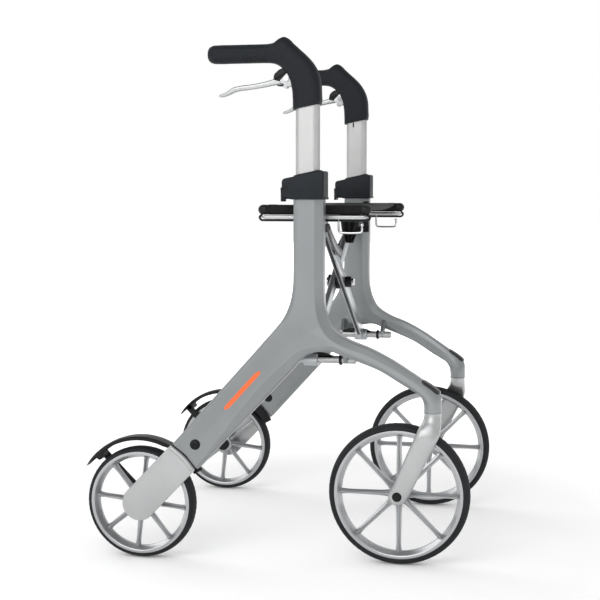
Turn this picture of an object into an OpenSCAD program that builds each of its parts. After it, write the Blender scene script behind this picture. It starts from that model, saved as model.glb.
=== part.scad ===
// Folding rollator walker, millimetres.
// +X is forward, +Y is the user's left, +Z is up, and z = 0 is the floor.
// Every side part is drawn once for the left side and mirrored for the right side.

/* [Overall] */
// Distance between the front and the rear axle
wheelbase = 457; // [445:1:470]
// Distance between the centre planes of the rear wheels
rear_track = 545; // [541:1:549]
// Distance between the centre planes of the front wheels
front_track = 440; // [434:1:446]
// Distance between the centre planes of the two columns
column_track = 480; // [478:1:482]

/* [Wheels] */
// Diameter of a front wheel over its tyre
front_wheel_d = 250; // [240:1:254]
// Diameter of a rear wheel over its tyre
rear_wheel_d = 200; // [194:1:202]
// Width of every tyre
tyre_w = 30; // [26:1:30]
// Radial thickness of a front tyre
front_tyre_h = 12; // [9:1:14]
// Radial thickness of a rear tyre
rear_tyre_h = 9; // [7:1:11]
// Number of spokes in every wheel
spoke_count = 8; // [5:1:10]
// Radius of every axle
axle_r = 5; // [4:0.5:6]

/* [Side frame] */
// Column size from front to back
column_w = 52; // [50:1:54]
// Column and junction thickness across the walker
column_t = 35; // [35:1:37]
// Height of the column's top end
column_top = 655; // [650:1:660]
// Width of the rear leg at the bolt
rear_leg_w = 63; // [58:1:66]
// Thickness of the rear leg
rear_leg_t = 30; // [28:1:30]
// Thickness of the front leg
front_leg_t = 28; // [24:1:30]
// Distance from the front axle forward to the caster's swivel axis
caster_trail = 58; // [50:1:62]

/* [Handles] */
// Height tube size from front to back
tube_w = 40; // [38:1:41]
// Height tube size across the walker
tube_t = 30; // [28:1:30]
// Height of the hand grip's centre line
grip_z = 892; // [870:1:900]
// Radius of the hand grip
grip_r = 16.3; // [15:0.1:17.5]
// Distance from the tube's axis back to the grip's rear end
grip_reach = 178; // [165:1:190]

/* [Seat and fold] */
// Half of the distance between the two lower pivot tubes
pivot_y = 205; // [204:1:206]
// Height of the lower pivot tubes
pivot_z = 357; // [355:1:359]
// Height of the upper brace ends
brace_top_z = 605; // [604:1:606]
// Length of a seat rail
rail_len = 204; // [190:1:210]

/* [Hidden] */
// Running clearance on a radius
run = 0.05;
// Sliding clearance around the height tube
slide_gap = 0.4;
front_r = front_wheel_d / 2;
rear_r = rear_wheel_d / 2;
guard_tip_reach = 104;
half_length = (guard_tip_reach + wheelbase + front_r) / 2;
front_axle_x = half_length - front_r;
rear_axle_x = front_axle_x - wheelbase;
front_y = front_track / 2;
rear_y = rear_track / 2;
column_y = column_track / 2;
column_x = 61;
tube_x = 58;
column_rear = column_x - column_w / 2;
column_front = column_x + column_w / 2;
column_inner = column_y - column_t / 2;
column_outer = column_y + column_t / 2;

tube_low = 565;
tube_high = 838;

// Front caster
caster_x = front_axle_x + caster_trail;
caster_y = front_y - 1;
sleeve_r = 15.3;
sleeve_bottom = 271;
sleeve_top = 308;
stem_r = 9;
fork_arm_in = front_y + tyre_w / 2 + 3;
fork_arm_t = 10;

// Rear wheel carrier
leg_dir = atan2(88.5, 84.5);
leg_end_r = rear_r + 24;
leg_tilt = 6;
leg_start = [35, 430];
plate_in = rear_y + tyre_w / 2 + 1.5;
plate_t = 4;
plate_half_w = 31;
leg_bolt = [-137, 208];
leg_bolt_r = 4;
shoe_gap = 2.2;
guard_r = rear_r + 16;
guard_t = 4;
guard_w = 29;
guard_arm_in = rear_y - tyre_w / 2 - 8;
rear_spoke_turn = 6;

// Fold linkage
brace_len = norm([2 * pivot_y, brace_top_z - pivot_z]);
brace_angle = atan2(brace_top_z - pivot_z, 2 * pivot_y);
cross_z = (brace_top_z + pivot_z) / 2;
pivot_tube_r = 7;
brace_a_x = 57;
brace_b_x = 75;
brace_t = 10;
brace_h = 24;
rail_x = 62;
rail_z = 622;
rail_r = 9;
link_y = 214;
link_z = 590;
link_reach = 122;
link_t = 5;
link_pin = [pivot_y - link_reach * cos(brace_angle), brace_top_z - link_reach * sin(brace_angle)];
seat_t = 4;

// ---------------------------------------------------------------- shared shapes

// Points on an arc about c, radius r, from angle a0 to a1
function arc(c, r, a0, a1, n = 12) =
    [for (i = [0:n]) let (a = a0 + (a1 - a0) * i / n) c + r * [cos(a), sin(a)]];

// Points on a quadratic curve from a to c that is pulled towards b
function curve(a, b, c, n = 8) =
    [for (i = [0:n]) let (t = i / n) (1 - t) * (1 - t) * a + 2 * t * (1 - t) * b + t * t * c];

// Mirrors a left-hand part to the right side
module right() { mirror([0, 1, 0]) children(); }

// Stands a side-view outline up and gives it thickness across the walker, from y0 to y1
module side_plate(y0, y1) {
    translate([0, y1, 0]) rotate([90, 0, 0]) linear_extrude(y1 - y0) children();
}

// A round bar across the walker from y0 to y1, at side-view point p
module cross_bar(p, r, y0, y1) {
    translate([p[0], y0, p[1]]) rotate([-90, 0, 0]) cylinder(h = y1 - y0, r = r, $fn = 48);
}

// A round bar along the walker from x0 to x1, at front-view point p
module long_bar(p, r, x0, x1) {
    translate([x0, p[0], p[1]]) rotate([0, 90, 0]) cylinder(h = x1 - x0, r = r, $fn = 48);
}

// A rectangle with round corners, centred on the origin
module round_rect(w, t, r) {
    square([w - 2 * r, t], center = true);
    square([w, t - 2 * r], center = true);
    for (sx = [-1, 1], sy = [-1, 1])
        translate([sx * (w / 2 - r), sy * (t / 2 - r)]) circle(r = r, $fn = 32);
}

// ---------------------------------------------------------------- side frame

// Outline of the junction where the column meets both legs
junction_outline = concat(
    [[column_rear, 505]],
    curve([column_rear, 505], [column_rear, 455], [8, 421]),
    [[-28, 380], [18, 331]],
    curve([18, 331], [60, 377], [98, 377]),
    [[121, 368], [150, 357]],
    [[161, 381]],
    curve([128, 397], [column_front + 1, 416], [column_front, 470])
);

// Outline of the rear leg in its own plane, before the wheel arc is cut
rear_leg_outline = [
    [8, 421], [-182, 204], [-182, 160], [-135, 162], [54, 366], [54, 421]
];

// Hollow of the rear leg, open at its lower end
rear_leg_hollow = [
    [-40, 358], [-200, 175], [-160, 143], [4, 320]
];

// Outline of the front leg in its own plane
front_leg_outline = concat(
    curve([112, 404], [200, 364], [254, 326]),
    [[caster_x + sleeve_r, 301], [caster_x + sleeve_r, 285], [caster_x - sleeve_r, 285]],
    curve([caster_x - sleeve_r, 285], [caster_x - sleeve_r, 299], [251, 304], 5),
    curve([227, 317], [172, 349], [118, 369])
);

module rear_leg_plane() {
    translate([leg_start[0], column_y, leg_start[1]])
        rotate(a = leg_tilt, v = [sin(leg_dir), 0, -cos(leg_dir)])
            translate([-leg_start[0], 0, -leg_start[1]]) children();
}

module front_leg_plane() {
    toe = atan2(column_y - caster_y, caster_x - 100);
    translate([100, column_y, 0]) rotate([0, 0, -toe]) translate([-100, 0, 0]) children();
}

module column_shape() {
    bevel = 14;
    difference() {
        translate([column_x, column_y]) round_rect(column_w, column_t, 5);
        translate([column_front - bevel, column_outer]) rotate(-42)
            translate([-6, 0]) square([40, 20]);
    }
}

module caster_sleeve() {
    translate([caster_x, caster_y, sleeve_bottom])
        cylinder(h = sleeve_top - sleeve_bottom, r = sleeve_r, $fn = 48);
}

module frame() {
    color([0.58, 0.6, 0.6]) difference() {
        union() {
            translate([0, 0, 450]) linear_extrude(column_top - 450) column_shape();
            side_plate(column_inner, column_outer) polygon(junction_outline);
            rear_leg_plane() side_plate(-rear_leg_t / 2, rear_leg_t / 2) polygon(rear_leg_outline);
            front_leg_plane() side_plate(-front_leg_t / 2, front_leg_t / 2)
                polygon(front_leg_outline);
            caster_sleeve();
        }
        // Slide for the height tube
        translate([tube_x, column_y, 470]) linear_extrude(column_top)
            square([tube_w + 2 * slide_gap, tube_t + 2 * slide_gap], center = true);
        rear_leg_plane() side_plate(-11, 11) polygon(rear_leg_hollow);
        // Round end around the rear wheel
        cross_bar([rear_axle_x, rear_r], leg_end_r, column_inner, rear_y + 30);
        rear_leg_plane() cross_bar(leg_bolt, leg_bolt_r, -rear_leg_t, rear_leg_t);
        // Bearing bore for the caster stem
        translate([caster_x, caster_y, sleeve_bottom - 1]) cylinder(h = 30, r = stem_r + run);
    }
}

// Cover over the sloping end of the front leg, above the caster bearing
cap_outline = [[258, 323.3], [288, 303.2], [290.5, 305.5], [284, 313], [270, 322], [262, 326.5]];

module front_cap() {
    cap_t = 22;
    color([0.1, 0.1, 0.11]) difference() {
        front_leg_plane() side_plate(-cap_t / 2, cap_t / 2) difference() {
            polygon(cap_outline);
            polygon(front_leg_outline);
        }
        caster_sleeve();
    }
}

// ---------------------------------------------------------------- height adjustment

module height_tube() {
    color([0.88, 0.88, 0.87]) difference() {
        translate([tube_x, column_y, tube_low]) linear_extrude(tube_high - tube_low) difference() {
            round_rect(tube_w, tube_t, 9);
            round_rect(tube_w - 5, tube_t - 5, 6.5);
        }
        // Height mark slot on the inner face
        translate([52, column_y - tube_t / 2 - 1, 788]) cube([3, 4, 9]);
    }
}

collar_outline = [[16, 641], [90, 641], [90, 686], [87, 689], [82, 689], [20, 678], [16, 674]];

module clamp_collar() {
    wall_in = column_inner - 3.5;
    wall_out = column_outer + 3.5;
    color([0.17, 0.19, 0.22]) difference() {
        side_plate(wall_in, wall_out) polygon(collar_outline);
        translate([column_x, column_y, 600]) linear_extrude(column_top - 600)
            square([column_w, column_t], center = true);
        translate([tube_x, column_y, 600]) linear_extrude(120)
            square([tube_w + 2 * slide_gap, tube_t + 2 * slide_gap], center = true);
        // Space for the clamp lever and its pin
        translate([0, column_y - 14, 630]) cube([column_rear - 1, 28, 70]);
        cross_bar([24, 660], 3, wall_in - 1, wall_out + 1);
    }
}

module clamp_lever() {
    blade = concat(arc([24, 660], 7.5, 100, -80), [[17, 650], [16, 637], [12.5, 637], [12.5, 662]]);
    color([0.2, 0.21, 0.24]) difference() {
        side_plate(column_y - 13.5, column_y + 13.5) polygon(blade);
        cross_bar([24, 660], 3 + run, column_y - 20, column_y + 20);
    }
}

// ---------------------------------------------------------------- handle and brake lever

handle_x = tube_x - 1;
handle_w = 48;
handle_t = 36;
lever_pivot = [22, 848];
grip_front = -6;
shoulder = 0.7;

handle_outline = concat(
    [[handle_x - handle_w / 2, 794], [handle_x + handle_w / 2, 804]],
    curve([handle_x + handle_w / 2, 804], [85, 852], [54, 886]),
    curve([54, 886], [38, 903], [24, 917], 4),
    curve([24, 917], [13, 923], [4, 912], 4),
    [[grip_front, grip_z + grip_r + shoulder], [grip_front, grip_z - grip_r - shoulder]],
    curve([grip_front, grip_z - grip_r - shoulder], [33, 877], [handle_x - handle_w / 2, 824])
);

module handle() {
    color([0.15, 0.17, 0.2]) difference() {
        union() {
            side_plate(column_y - handle_t / 2, column_y + handle_t / 2) polygon(handle_outline);
            long_bar([column_y, grip_z], grip_r, tube_x - grip_reach, grip_front);
            // Two ears for the brake lever's pin
            for (y = [column_y - 10, column_y + 6.5])
                side_plate(y, y + 3.5) union() {
                    translate(lever_pivot) circle(r = 7, $fn = 32);
                    translate([lever_pivot[0], lever_pivot[1] - 7]) square([14, 16]);
                }
        }
        // Socket for the height tube
        translate([tube_x, column_y, 780]) linear_extrude(tube_high - 780)
            round_rect(tube_w, tube_t, 9);
        cross_bar(lever_pivot, 3, column_y - 12, column_y + 12);
        // Soft-edged rear end of the grip
        translate([tube_x - grip_reach - 1, column_y, grip_z]) rotate([0, 90, 0])
            cylinder(h = 3, r = 5, $fn = 48);
    }
}

module brake_lever() {
    blade = concat(
        arc(lever_pivot, 6.2, 80, -110, 10),
        curve([12, 840], [-30, 833], [-70, 828], 4),
        [[-99, 819], [-101, 822]],
        curve([-72, 836], [-30, 841], [8, 852], 4)
    );
    color([0.78, 0.78, 0.8]) difference() {
        side_plate(column_y - 6, column_y + 6) polygon(blade);
        cross_bar(lever_pivot, 3 + run, column_y - 20, column_y + 20);
    }
}

module lever_pin() {
    color([0.7, 0.7, 0.72]) {
        cross_bar(lever_pivot, 3, column_y - 11, column_y + 11);
        cross_bar(lever_pivot, 4.5, column_y - 12.5, column_y - 10.5);
        cross_bar(lever_pivot, 4.5, column_y + 10.5, column_y + 12.5);
    }
}

// ---------------------------------------------------------------- wheels

// Tyre section: flat on the rim, round on the floor side
function tyre_section(r, h, w) = concat(
    [[r - h, -w / 2 + 1.5]],
    [for (a = [-90:15:90]) [r - h + 2 + (h - 2) * cos(a), w / 2 * sin(a)]],
    [[r - h, w / 2 - 1.5]]
);

// Rim section: two flat flanges and a deep ridge between them
function rim_section(r, w) = [
    [r, -w / 2], [r, w / 2], [r - 5, w / 2], [r - 9, w / 4], [r - 11, 2],
    [r - 11, -2], [r - 9, -w / 4], [r - 5, -w / 2]
];

// Places a wheel part, drawn about +Z, on an axle across the walker
module on_axle(x, y, z) { translate([x, y, z]) rotate([-90, 0, 0]) children(); }

module tyre(r, h) {
    color([0.16, 0.17, 0.18]) rotate_extrude($fn = 96) polygon(tyre_section(r, h, tyre_w));
}

module rim(r, hub_r, hub_len, turn = 0) {
    color([0.74, 0.75, 0.76]) difference() {
        union() {
            rotate_extrude($fn = 96) polygon(rim_section(r, tyre_w - 3));
            cylinder(h = hub_len, r = hub_r, center = true, $fn = 48);
            for (i = [0:spoke_count - 1]) rotate(i * 360 / spoke_count + turn)
                spoke(hub_r - 3, r - 8);
        }
        cylinder(h = hub_len + 2, r = axle_r + run, center = true, $fn = 48);
    }
}

// One spoke: a tapered web with a narrow ridge that stands out on both faces
module spoke(r0, r1) {
    linear_extrude(9, center = true) polygon([[r0, -4.4], [r1, -2.7], [r1, 2.7], [r0, 4.4]]);
    linear_extrude(20, center = true) polygon([[r0, -2], [r1, -1.3], [r1, 1.3], [r0, 2]]);
}

module front_tyre() { on_axle(front_axle_x, front_y, front_r) tyre(front_r, front_tyre_h); }

module front_rim() {
    on_axle(front_axle_x, front_y, front_r) rim(front_r - front_tyre_h, 17, tyre_w);
}

module rear_tyre() { on_axle(rear_axle_x, rear_y, rear_r) tyre(rear_r, rear_tyre_h); }

module rear_rim() {
    on_axle(rear_axle_x, rear_y, rear_r) rim(rear_r - rear_tyre_h, 16, tyre_w - 2, rear_spoke_turn);
}

// ---------------------------------------------------------------- front caster

module caster_fork() {
    axle = [front_axle_x, front_r];
    color([0.8, 0.8, 0.81]) difference() {
        union() {
            translate([caster_x, caster_y, 262]) cylinder(h = 36, r = stem_r, $fn = 48);
            translate([caster_x, caster_y, 260]) cylinder(h = 10.5, r = 14.6, $fn = 48);
            // Shoulder that carries the load out past the tyre
            hull() {
                translate([caster_x, caster_y, 253]) cylinder(h = 9, r = 15.3, $fn = 32);
                translate([274, fork_arm_in, 252]) rotate([-90, 0, 0])
                    cylinder(h = fork_arm_t, r = 10, $fn = 32);
            }
            // Single arm on the outer side of the wheel
            hull() {
                translate([271, fork_arm_in, 240]) rotate([-90, 0, 0])
                    cylinder(h = fork_arm_t, r = 18.5, $fn = 32);
                translate([axle[0], fork_arm_in, axle[1]]) rotate([-90, 0, 0])
                    cylinder(h = fork_arm_t, r = 16.5, $fn = 32);
            }
        }
        cross_bar(axle, axle_r + run, fork_arm_in - 1, fork_arm_in + fork_arm_t + 1);
    }
}

module front_axle() {
    axle = [front_axle_x, front_r];
    hub_in = front_y - tyre_w / 2;
    color([0.6, 0.6, 0.62]) {
        cross_bar(axle, axle_r, hub_in - 4, fork_arm_in + fork_arm_t);
        cross_bar(axle, 9, hub_in - 4, hub_in - 0.5);
        cross_bar(axle, 8, fork_arm_in - 2.5, fork_arm_in);
    }
}

module fork_cap() {
    color([0.08, 0.08, 0.09])
        cross_bar([front_axle_x, front_r], 7.6, fork_arm_in + fork_arm_t,
                  fork_arm_in + fork_arm_t + 2.5);
}

// ---------------------------------------------------------------- rear wheel carrier

rear_axle = [rear_axle_x, rear_r];

// A sector of a ring about the rear axle
module ring_sector(r0, r1, a0, a1) {
    polygon(concat(arc(rear_axle, r0, a0, a1), arc(rear_axle, r1, a1, a0)));
}

// A straight bar that runs out from the rear axle at angle a
module spoke_bar(a, w, r) {
    translate(rear_axle) rotate(a) translate([0, -w / 2]) square([r, w]);
}

module wheel_plate() {
    plate_r = leg_end_r - 0.8;
    color([0.77, 0.77, 0.77]) difference() {
        union() {
            side_plate(plate_in, plate_in + plate_t) intersection() {
                translate(rear_axle) circle(r = plate_r, $fn = 96);
                polygon(concat(
                    arc(rear_axle, plate_half_w, leg_dir + 90, leg_dir + 270, 36),
                    arc(rear_axle, leg_end_r + 5, leg_dir - 14.3, leg_dir + 14.3, 1)));
            }
            // Raised lip along the plate's upper end
            side_plate(plate_in + plate_t - 1, plate_in + plate_t + 1)
                ring_sector(plate_r - 7.5, plate_r - 0.8, leg_dir - 14, leg_dir + 14);
            // Neck over the tyre, and the tongue that fills the leg's open end
            side_plate(rear_y - 10, plate_in + 1)
                ring_sector(leg_end_r - 14, plate_r - 1.2, leg_dir - 11, leg_dir + 11);
            rear_leg_plane() side_plate(-10.8, 10.8) difference() {
                polygon([[-136, 246], [-97, 213], [-150, 157], [-187, 187]]);
                translate(rear_axle) circle(r = leg_end_r - 10, $fn = 96);
            }
        }
        rear_leg_plane() cross_bar(leg_bolt, leg_bolt_r + run, -20, 20);
        cross_bar(rear_axle, axle_r + run, plate_in - 1, plate_in + 1.5);
        // Guide bore of the brake shoe
        shoe_axis() translate([0, 0, rear_r]) cylinder(h = 28, r = 5 + run, $fn = 48);
    }
}

module leg_bolt_set() {
    head_r = 9;
    head_h = 3;
    color([0.1, 0.1, 0.1]) rear_leg_plane() {
        cross_bar(leg_bolt, leg_bolt_r, -rear_leg_t / 2, rear_leg_t / 2);
        cross_bar(leg_bolt, head_r, rear_leg_t / 2, rear_leg_t / 2 + head_h);
        cross_bar(leg_bolt, head_r, -rear_leg_t / 2 - head_h, -rear_leg_t / 2);
    }
}

// Puts a shape drawn up +Z on the line from the rear axle along the leg
module shoe_axis() {
    translate([rear_axle[0], rear_y, rear_axle[1]]) rotate([0, 90 - leg_dir, 0]) children();
}

module brake_shoe() {
    color([0.09, 0.09, 0.1]) {
        side_plate(rear_y - 12, rear_y + 12)
            ring_sector(rear_r + shoe_gap, rear_r + 6, leg_dir - 12, leg_dir + 12);
        shoe_axis() translate([0, 0, rear_r + 5]) cylinder(h = 16, r = 5, $fn = 48);
    }
}

module rear_axle_bolt() {
    color([0.6, 0.6, 0.62]) {
        cross_bar(rear_axle, axle_r, guard_arm_in - 4, plate_in);
        cross_bar(rear_axle, 8, guard_arm_in + 4, guard_arm_in + 8);
        cross_bar(rear_axle, 8, plate_in - 2, plate_in);
    }
}

module rear_hub_cap() {
    color([0.08, 0.08, 0.09]) difference() {
        cross_bar(rear_axle, 12, guard_arm_in - 6, guard_arm_in);
        cross_bar(rear_axle, axle_r + run, guard_arm_in - 4, guard_arm_in + 1);
    }
}

module wheel_guard() {
    side_in = rear_y - guard_w / 2;
    side_out = rear_y + guard_w / 2;
    arm_a = 136;
    tip = rear_axle + [-guard_tip_reach, 60];
    color([0.1, 0.1, 0.11]) difference() {
        union() {
            side_plate(side_in, side_out) ring_sector(guard_r, guard_r + guard_t, 60, arm_a);
            for (y = [side_in, side_out - 2])
                side_plate(y, y + 2) ring_sector(guard_r - 3, guard_r + 1, 62, arm_a);
            // Pointed rear end
            side_plate(side_in, side_out)
                polygon(concat(arc(rear_axle, guard_r + guard_t, arm_a - 1, 145, 3),
                               [tip], arc(rear_axle, guard_r, 142, arm_a - 1, 3)));
            // Rib and inner arm down to the axle
            side_plate(guard_arm_in, side_out) intersection() {
                ring_sector(rear_r + 5, guard_r + 1, arm_a - 4, arm_a + 1);
                spoke_bar(arm_a - 1.5, 9, guard_r + 4);
            }
            side_plate(guard_arm_in, guard_arm_in + 4) union() {
                spoke_bar(arm_a - 1, 11, guard_r + 1);
                translate(rear_axle) circle(r = 12, $fn = 48);
            }
            // Brake housing beside the neck of the wheel plate
            side_plate(guard_arm_in + 1, rear_y - 12.8)
                ring_sector(rear_r + 4, leg_end_r - 2, leg_dir - 18, 61);
        }
        cross_bar(rear_axle, axle_r + run, guard_arm_in - 1, guard_arm_in + 5);
    }
}

// ---------------------------------------------------------------- fold linkage

// Stands a front-view outline up and gives it length along the walker, from x0 to x1
module front_plate(x0, x1) {
    translate([x0, 0, 0]) rotate([90, 0, 90]) linear_extrude(x1 - x0) children();
}

module pivot_tube() {
    lug = [[198, 352], [210, 350], [column_inner, 368], [column_inner, 386], [212, 379], [198, 364]];
    color([0.75, 0.76, 0.77]) {
        long_bar([pivot_y, pivot_z], pivot_tube_r, 28, 138);
        for (x = [30, 116]) front_plate(x, x + 8) polygon(lug);
    }
    color([0.12, 0.12, 0.12]) long_bar([pivot_y, pivot_z], 9.5, 108, 113);
}

// Column bracket: a saddle for the seat rail and an ear with the guide link's pin
module column_bracket(saddle_x, ear_x, pin_end) {
    wall = column_inner;
    ear_t = 4.5;
    color([0.12, 0.12, 0.13]) {
        front_plate(min(saddle_x, ear_x), max(saddle_x + 11, ear_x + ear_t))
            translate([wall - 3, 570]) square([3, 11]);
        front_plate(saddle_x, saddle_x + 11)
            polygon([[wall, 575], [wall, 634], [wall - 7, 634], [wall - 7, 604.4],
                     [198, 604.4], [198, 599], [wall - 7, 590]]);
        front_plate(ear_x, ear_x + ear_t) union() {
            translate([link_y, link_z]) circle(r = 7.5, $fn = 32);
            translate([link_y, link_z - 7.5]) square([wall - link_y, 15]);
            translate([wall - 3, 570]) square([3, link_z - 570]);
        }
        long_bar([link_y, link_z], 3.5, min(ear_x, pin_end), max(ear_x, pin_end));
    }
}

// Guide link between a column and the upper half of a brace
module guide_link(x0) {
    far = link_pin;
    near = [link_y, link_z];
    middle = (far + near) / 2 + [4, -12];
    color([0.3, 0.29, 0.28]) difference() {
        union() {
            for (p = [far, near])
                long_bar(p, 7.8, x0, x0 + link_t);
            front_plate(x0, x0 + link_t)
                polygon(concat(curve(near + [0, 7.5], middle + [0, 11], far + [2, 7.5]),
                               curve(far + [-2, -7.5], middle + [0, -9], near + [0, -7.5])));
        }
        long_bar(near, 3.5 + run, x0 - 1, x0 + link_t + 1);
    }
}

module brace_bar(x, barrel_x) {
    bar_end = brace_len + 6;
    color([0.7, 0.71, 0.71]) difference() {
        union() {
            translate([x - brace_t / 2, -pivot_y, pivot_z]) rotate([brace_angle, 0, 0])
                translate([0, 0, -brace_h / 2]) cube([brace_t, bar_end, brace_h]);
            long_bar([-pivot_y, pivot_z], 12, barrel_x, barrel_x + 26);
        }
        long_bar([-pivot_y, pivot_z], pivot_tube_r + run, barrel_x - 1, barrel_x + 27);
        long_bar([0, cross_z], 6 + run, x - brace_t, x + brace_t);
        translate([0, 150, brace_top_z]) cube([100, 100, 50]);
        translate([0, pivot_y + 8, brace_top_z - 60]) cube([100, 100, 80]);
    }
}

// Brace A runs from the right pivot tube up to the left seat rail
module brace_a() {
    brace_bar(brace_a_x, 44);
    color([0.2, 0.2, 0.2]) long_bar(link_pin, 5.5, 49.5, brace_a_x);
}

// Brace B runs from the left pivot tube up to the right seat rail
module brace_b() {
    right() {
        brace_bar(brace_b_x, 62);
        color([0.2, 0.2, 0.2]) long_bar(link_pin, 5.5, brace_b_x, 85.5);
    }
}

module cross_bolt() {
    color([0.85, 0.85, 0.85]) {
        long_bar([0, cross_z], 6, 47, 93);
        long_bar([0, cross_z], 9, 43, 47);
        long_bar([0, cross_z], 7, 92, 97);
    }
}

// Black spacers that keep the two braces apart on the bolt
module cross_hub() {
    color([0.1, 0.1, 0.1]) for (x = [[47, 51.8], [62.2, 69.8], [80.2, 92]])
        difference() {
            long_bar([0, cross_z], x[0] > 80 ? 8.5 : 14, x[0], x[1]);
            long_bar([0, cross_z], 6 + run, x[0] - 1, x[1] + 1);
        }
}

// ---------------------------------------------------------------- seat

module seat_rail() {
    color([0.78, 0.78, 0.79])
        translate([rail_x - rail_len / 2 + 4, pivot_y - 8, brace_top_z])
            cube([rail_len - 8, 16, rail_z - rail_r - brace_top_z]);
}

module rail_sleeve() {
    x0 = rail_x - rail_len / 2;
    color([0.08, 0.08, 0.09]) {
        long_bar([pivot_y, rail_z], rail_r, x0 + rail_r, x0 + rail_len - rail_r);
        for (x = [x0 + rail_r, x0 + rail_len - rail_r])
            translate([x, pivot_y, rail_z]) sphere(r = rail_r, $fn = 48);
    }
}

module bag_hook() {
    wire_r = 1.9;
    x0 = 106;
    x1 = 147;
    low = 582;
    color([0.75, 0.75, 0.76]) {
        translate([x0, pivot_y, low]) cylinder(h = brace_top_z - low, r = wire_r, $fn = 32);
        long_bar([pivot_y, low], wire_r, x0, x1);
        translate([x1, pivot_y, low]) cylinder(h = 13, r = wire_r, $fn = 32);
        for (x = [x0, x1]) translate([x, pivot_y, low]) sphere(r = wire_r, $fn = 32);
        translate([x1, pivot_y, low + 14]) sphere(r = 3, $fn = 32);
    }
}

module seat_sling() {
    color([0.07, 0.07, 0.08])
        translate([rail_x - 84, -194, 625]) cube([168, 388, seat_t]);
}

module lift_strap() {
    color([0.07, 0.07, 0.08]) side_plate(-3, 3)
        polygon([[66, 624], [108, 624], [104, 580], [94, 556], [82, 556], [72, 580]]);
}

right() frame();  // right_frame
frame();  // left_frame
right() height_tube();  // right_height_tube
height_tube();  // left_height_tube
right() clamp_collar();  // right_clamp_collar
clamp_collar();  // left_clamp_collar
right() clamp_lever();  // right_clamp_lever
clamp_lever();  // left_clamp_lever
right() handle();  // right_handle
handle();  // left_handle
right() brake_lever();  // right_brake_lever
brake_lever();  // left_brake_lever
right() lever_pin();  // right_lever_pin
lever_pin();  // left_lever_pin
right() front_cap();  // right_front_cap
front_cap();  // left_front_cap
right() caster_fork();  // right_caster_fork
caster_fork();  // left_caster_fork
right() front_rim();  // right_front_rim
front_rim();  // left_front_rim
right() front_tyre();  // right_front_tyre
front_tyre();  // left_front_tyre
right() front_axle();  // right_front_axle
front_axle();  // left_front_axle
right() fork_cap();  // right_fork_cap
fork_cap();  // left_fork_cap
right() wheel_plate();  // right_wheel_plate
wheel_plate();  // left_wheel_plate
right() rear_rim();  // right_rear_rim
rear_rim();  // left_rear_rim
right() rear_tyre();  // right_rear_tyre
rear_tyre();  // left_rear_tyre
right() rear_axle_bolt();  // right_rear_axle
rear_axle_bolt();  // left_rear_axle
right() rear_hub_cap();  // right_rear_hub_cap
rear_hub_cap();  // left_rear_hub_cap
right() leg_bolt_set();  // right_leg_bolt
leg_bolt_set();  // left_leg_bolt
right() brake_shoe();  // right_brake_shoe
brake_shoe();  // left_brake_shoe
right() wheel_guard();  // right_wheel_guard
wheel_guard();  // left_wheel_guard
right() pivot_tube();  // right_pivot_tube
pivot_tube();  // left_pivot_tube
right() column_bracket(40, 81, 92.5);  // right_column_bracket
column_bracket(77, 38.5, 50);  // left_column_bracket
right() guide_link(86);  // right_guide_link
guide_link(44);  // left_guide_link
right() seat_rail();  // right_seat_rail
seat_rail();  // left_seat_rail
right() rail_sleeve();  // right_rail_sleeve
rail_sleeve();  // left_rail_sleeve
right() bag_hook();  // right_bag_hook
bag_hook();  // left_bag_hook
brace_a();
brace_b();
cross_bolt();
cross_hub();
seat_sling();
lift_strap();
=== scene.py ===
"""Folding rollator walker: the finished surfaces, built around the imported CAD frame.

Lengths in the classes are millimetres in the frame's own axes (+X forward, +Y to the user's left,
+Z up, floor at zero); Shell.build turns them into metres. A side part is drawn once for the left
side and mirrored for the right side. Curves are cubic Hermite curves through a few stations,
closed sections are superellipses, and plates are outlines with rounded corners and rolled edges.
"""

import logging
import math
from dataclasses import dataclass, field
from enum import Enum

import bmesh
import bpy
import numpy as np
from mathutils import Matrix, Vector


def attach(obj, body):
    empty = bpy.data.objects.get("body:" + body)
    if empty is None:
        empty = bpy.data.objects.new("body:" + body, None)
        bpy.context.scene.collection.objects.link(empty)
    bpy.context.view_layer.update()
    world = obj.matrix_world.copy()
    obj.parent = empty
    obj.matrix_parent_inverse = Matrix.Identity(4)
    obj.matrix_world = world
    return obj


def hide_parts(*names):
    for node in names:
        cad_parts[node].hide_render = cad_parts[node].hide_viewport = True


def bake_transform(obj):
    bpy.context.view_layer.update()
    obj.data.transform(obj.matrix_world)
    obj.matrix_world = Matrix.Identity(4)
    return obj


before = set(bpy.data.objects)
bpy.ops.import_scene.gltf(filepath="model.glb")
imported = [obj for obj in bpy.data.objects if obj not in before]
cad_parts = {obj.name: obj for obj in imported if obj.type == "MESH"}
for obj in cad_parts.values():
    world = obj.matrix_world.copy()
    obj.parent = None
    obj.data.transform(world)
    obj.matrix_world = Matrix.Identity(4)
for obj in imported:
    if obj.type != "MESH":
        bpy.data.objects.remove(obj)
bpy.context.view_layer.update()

LOG = logging.getLogger("rollator")
MM = 0.001
X_AXIS, Y_AXIS, Z_AXIS = np.eye(3)

# Sizes that several sub-assemblies share: the middle of a side frame, the two axles as x and z,
# and the rear leg's slope in degrees.
COLUMN_Y = 240.0
FRONT_AXLE = (218.0, 125.0)
REAR_AXLE = (-239.0, 100.0)
LEG_SLOPE = 46.32


class Side(Enum):
    """The two sides of the walker; the value is the sign of their Y coordinates."""

    LEFT = 1
    RIGHT = -1

    @property
    def word(self) -> str:
        """The side's name as it stands at the front of node and body names."""
        return self.name.lower()

    def body(self, part: str) -> str:
        """The name of this side's CAD body or node called part."""
        return f"{self.word}_{part}"


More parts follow.
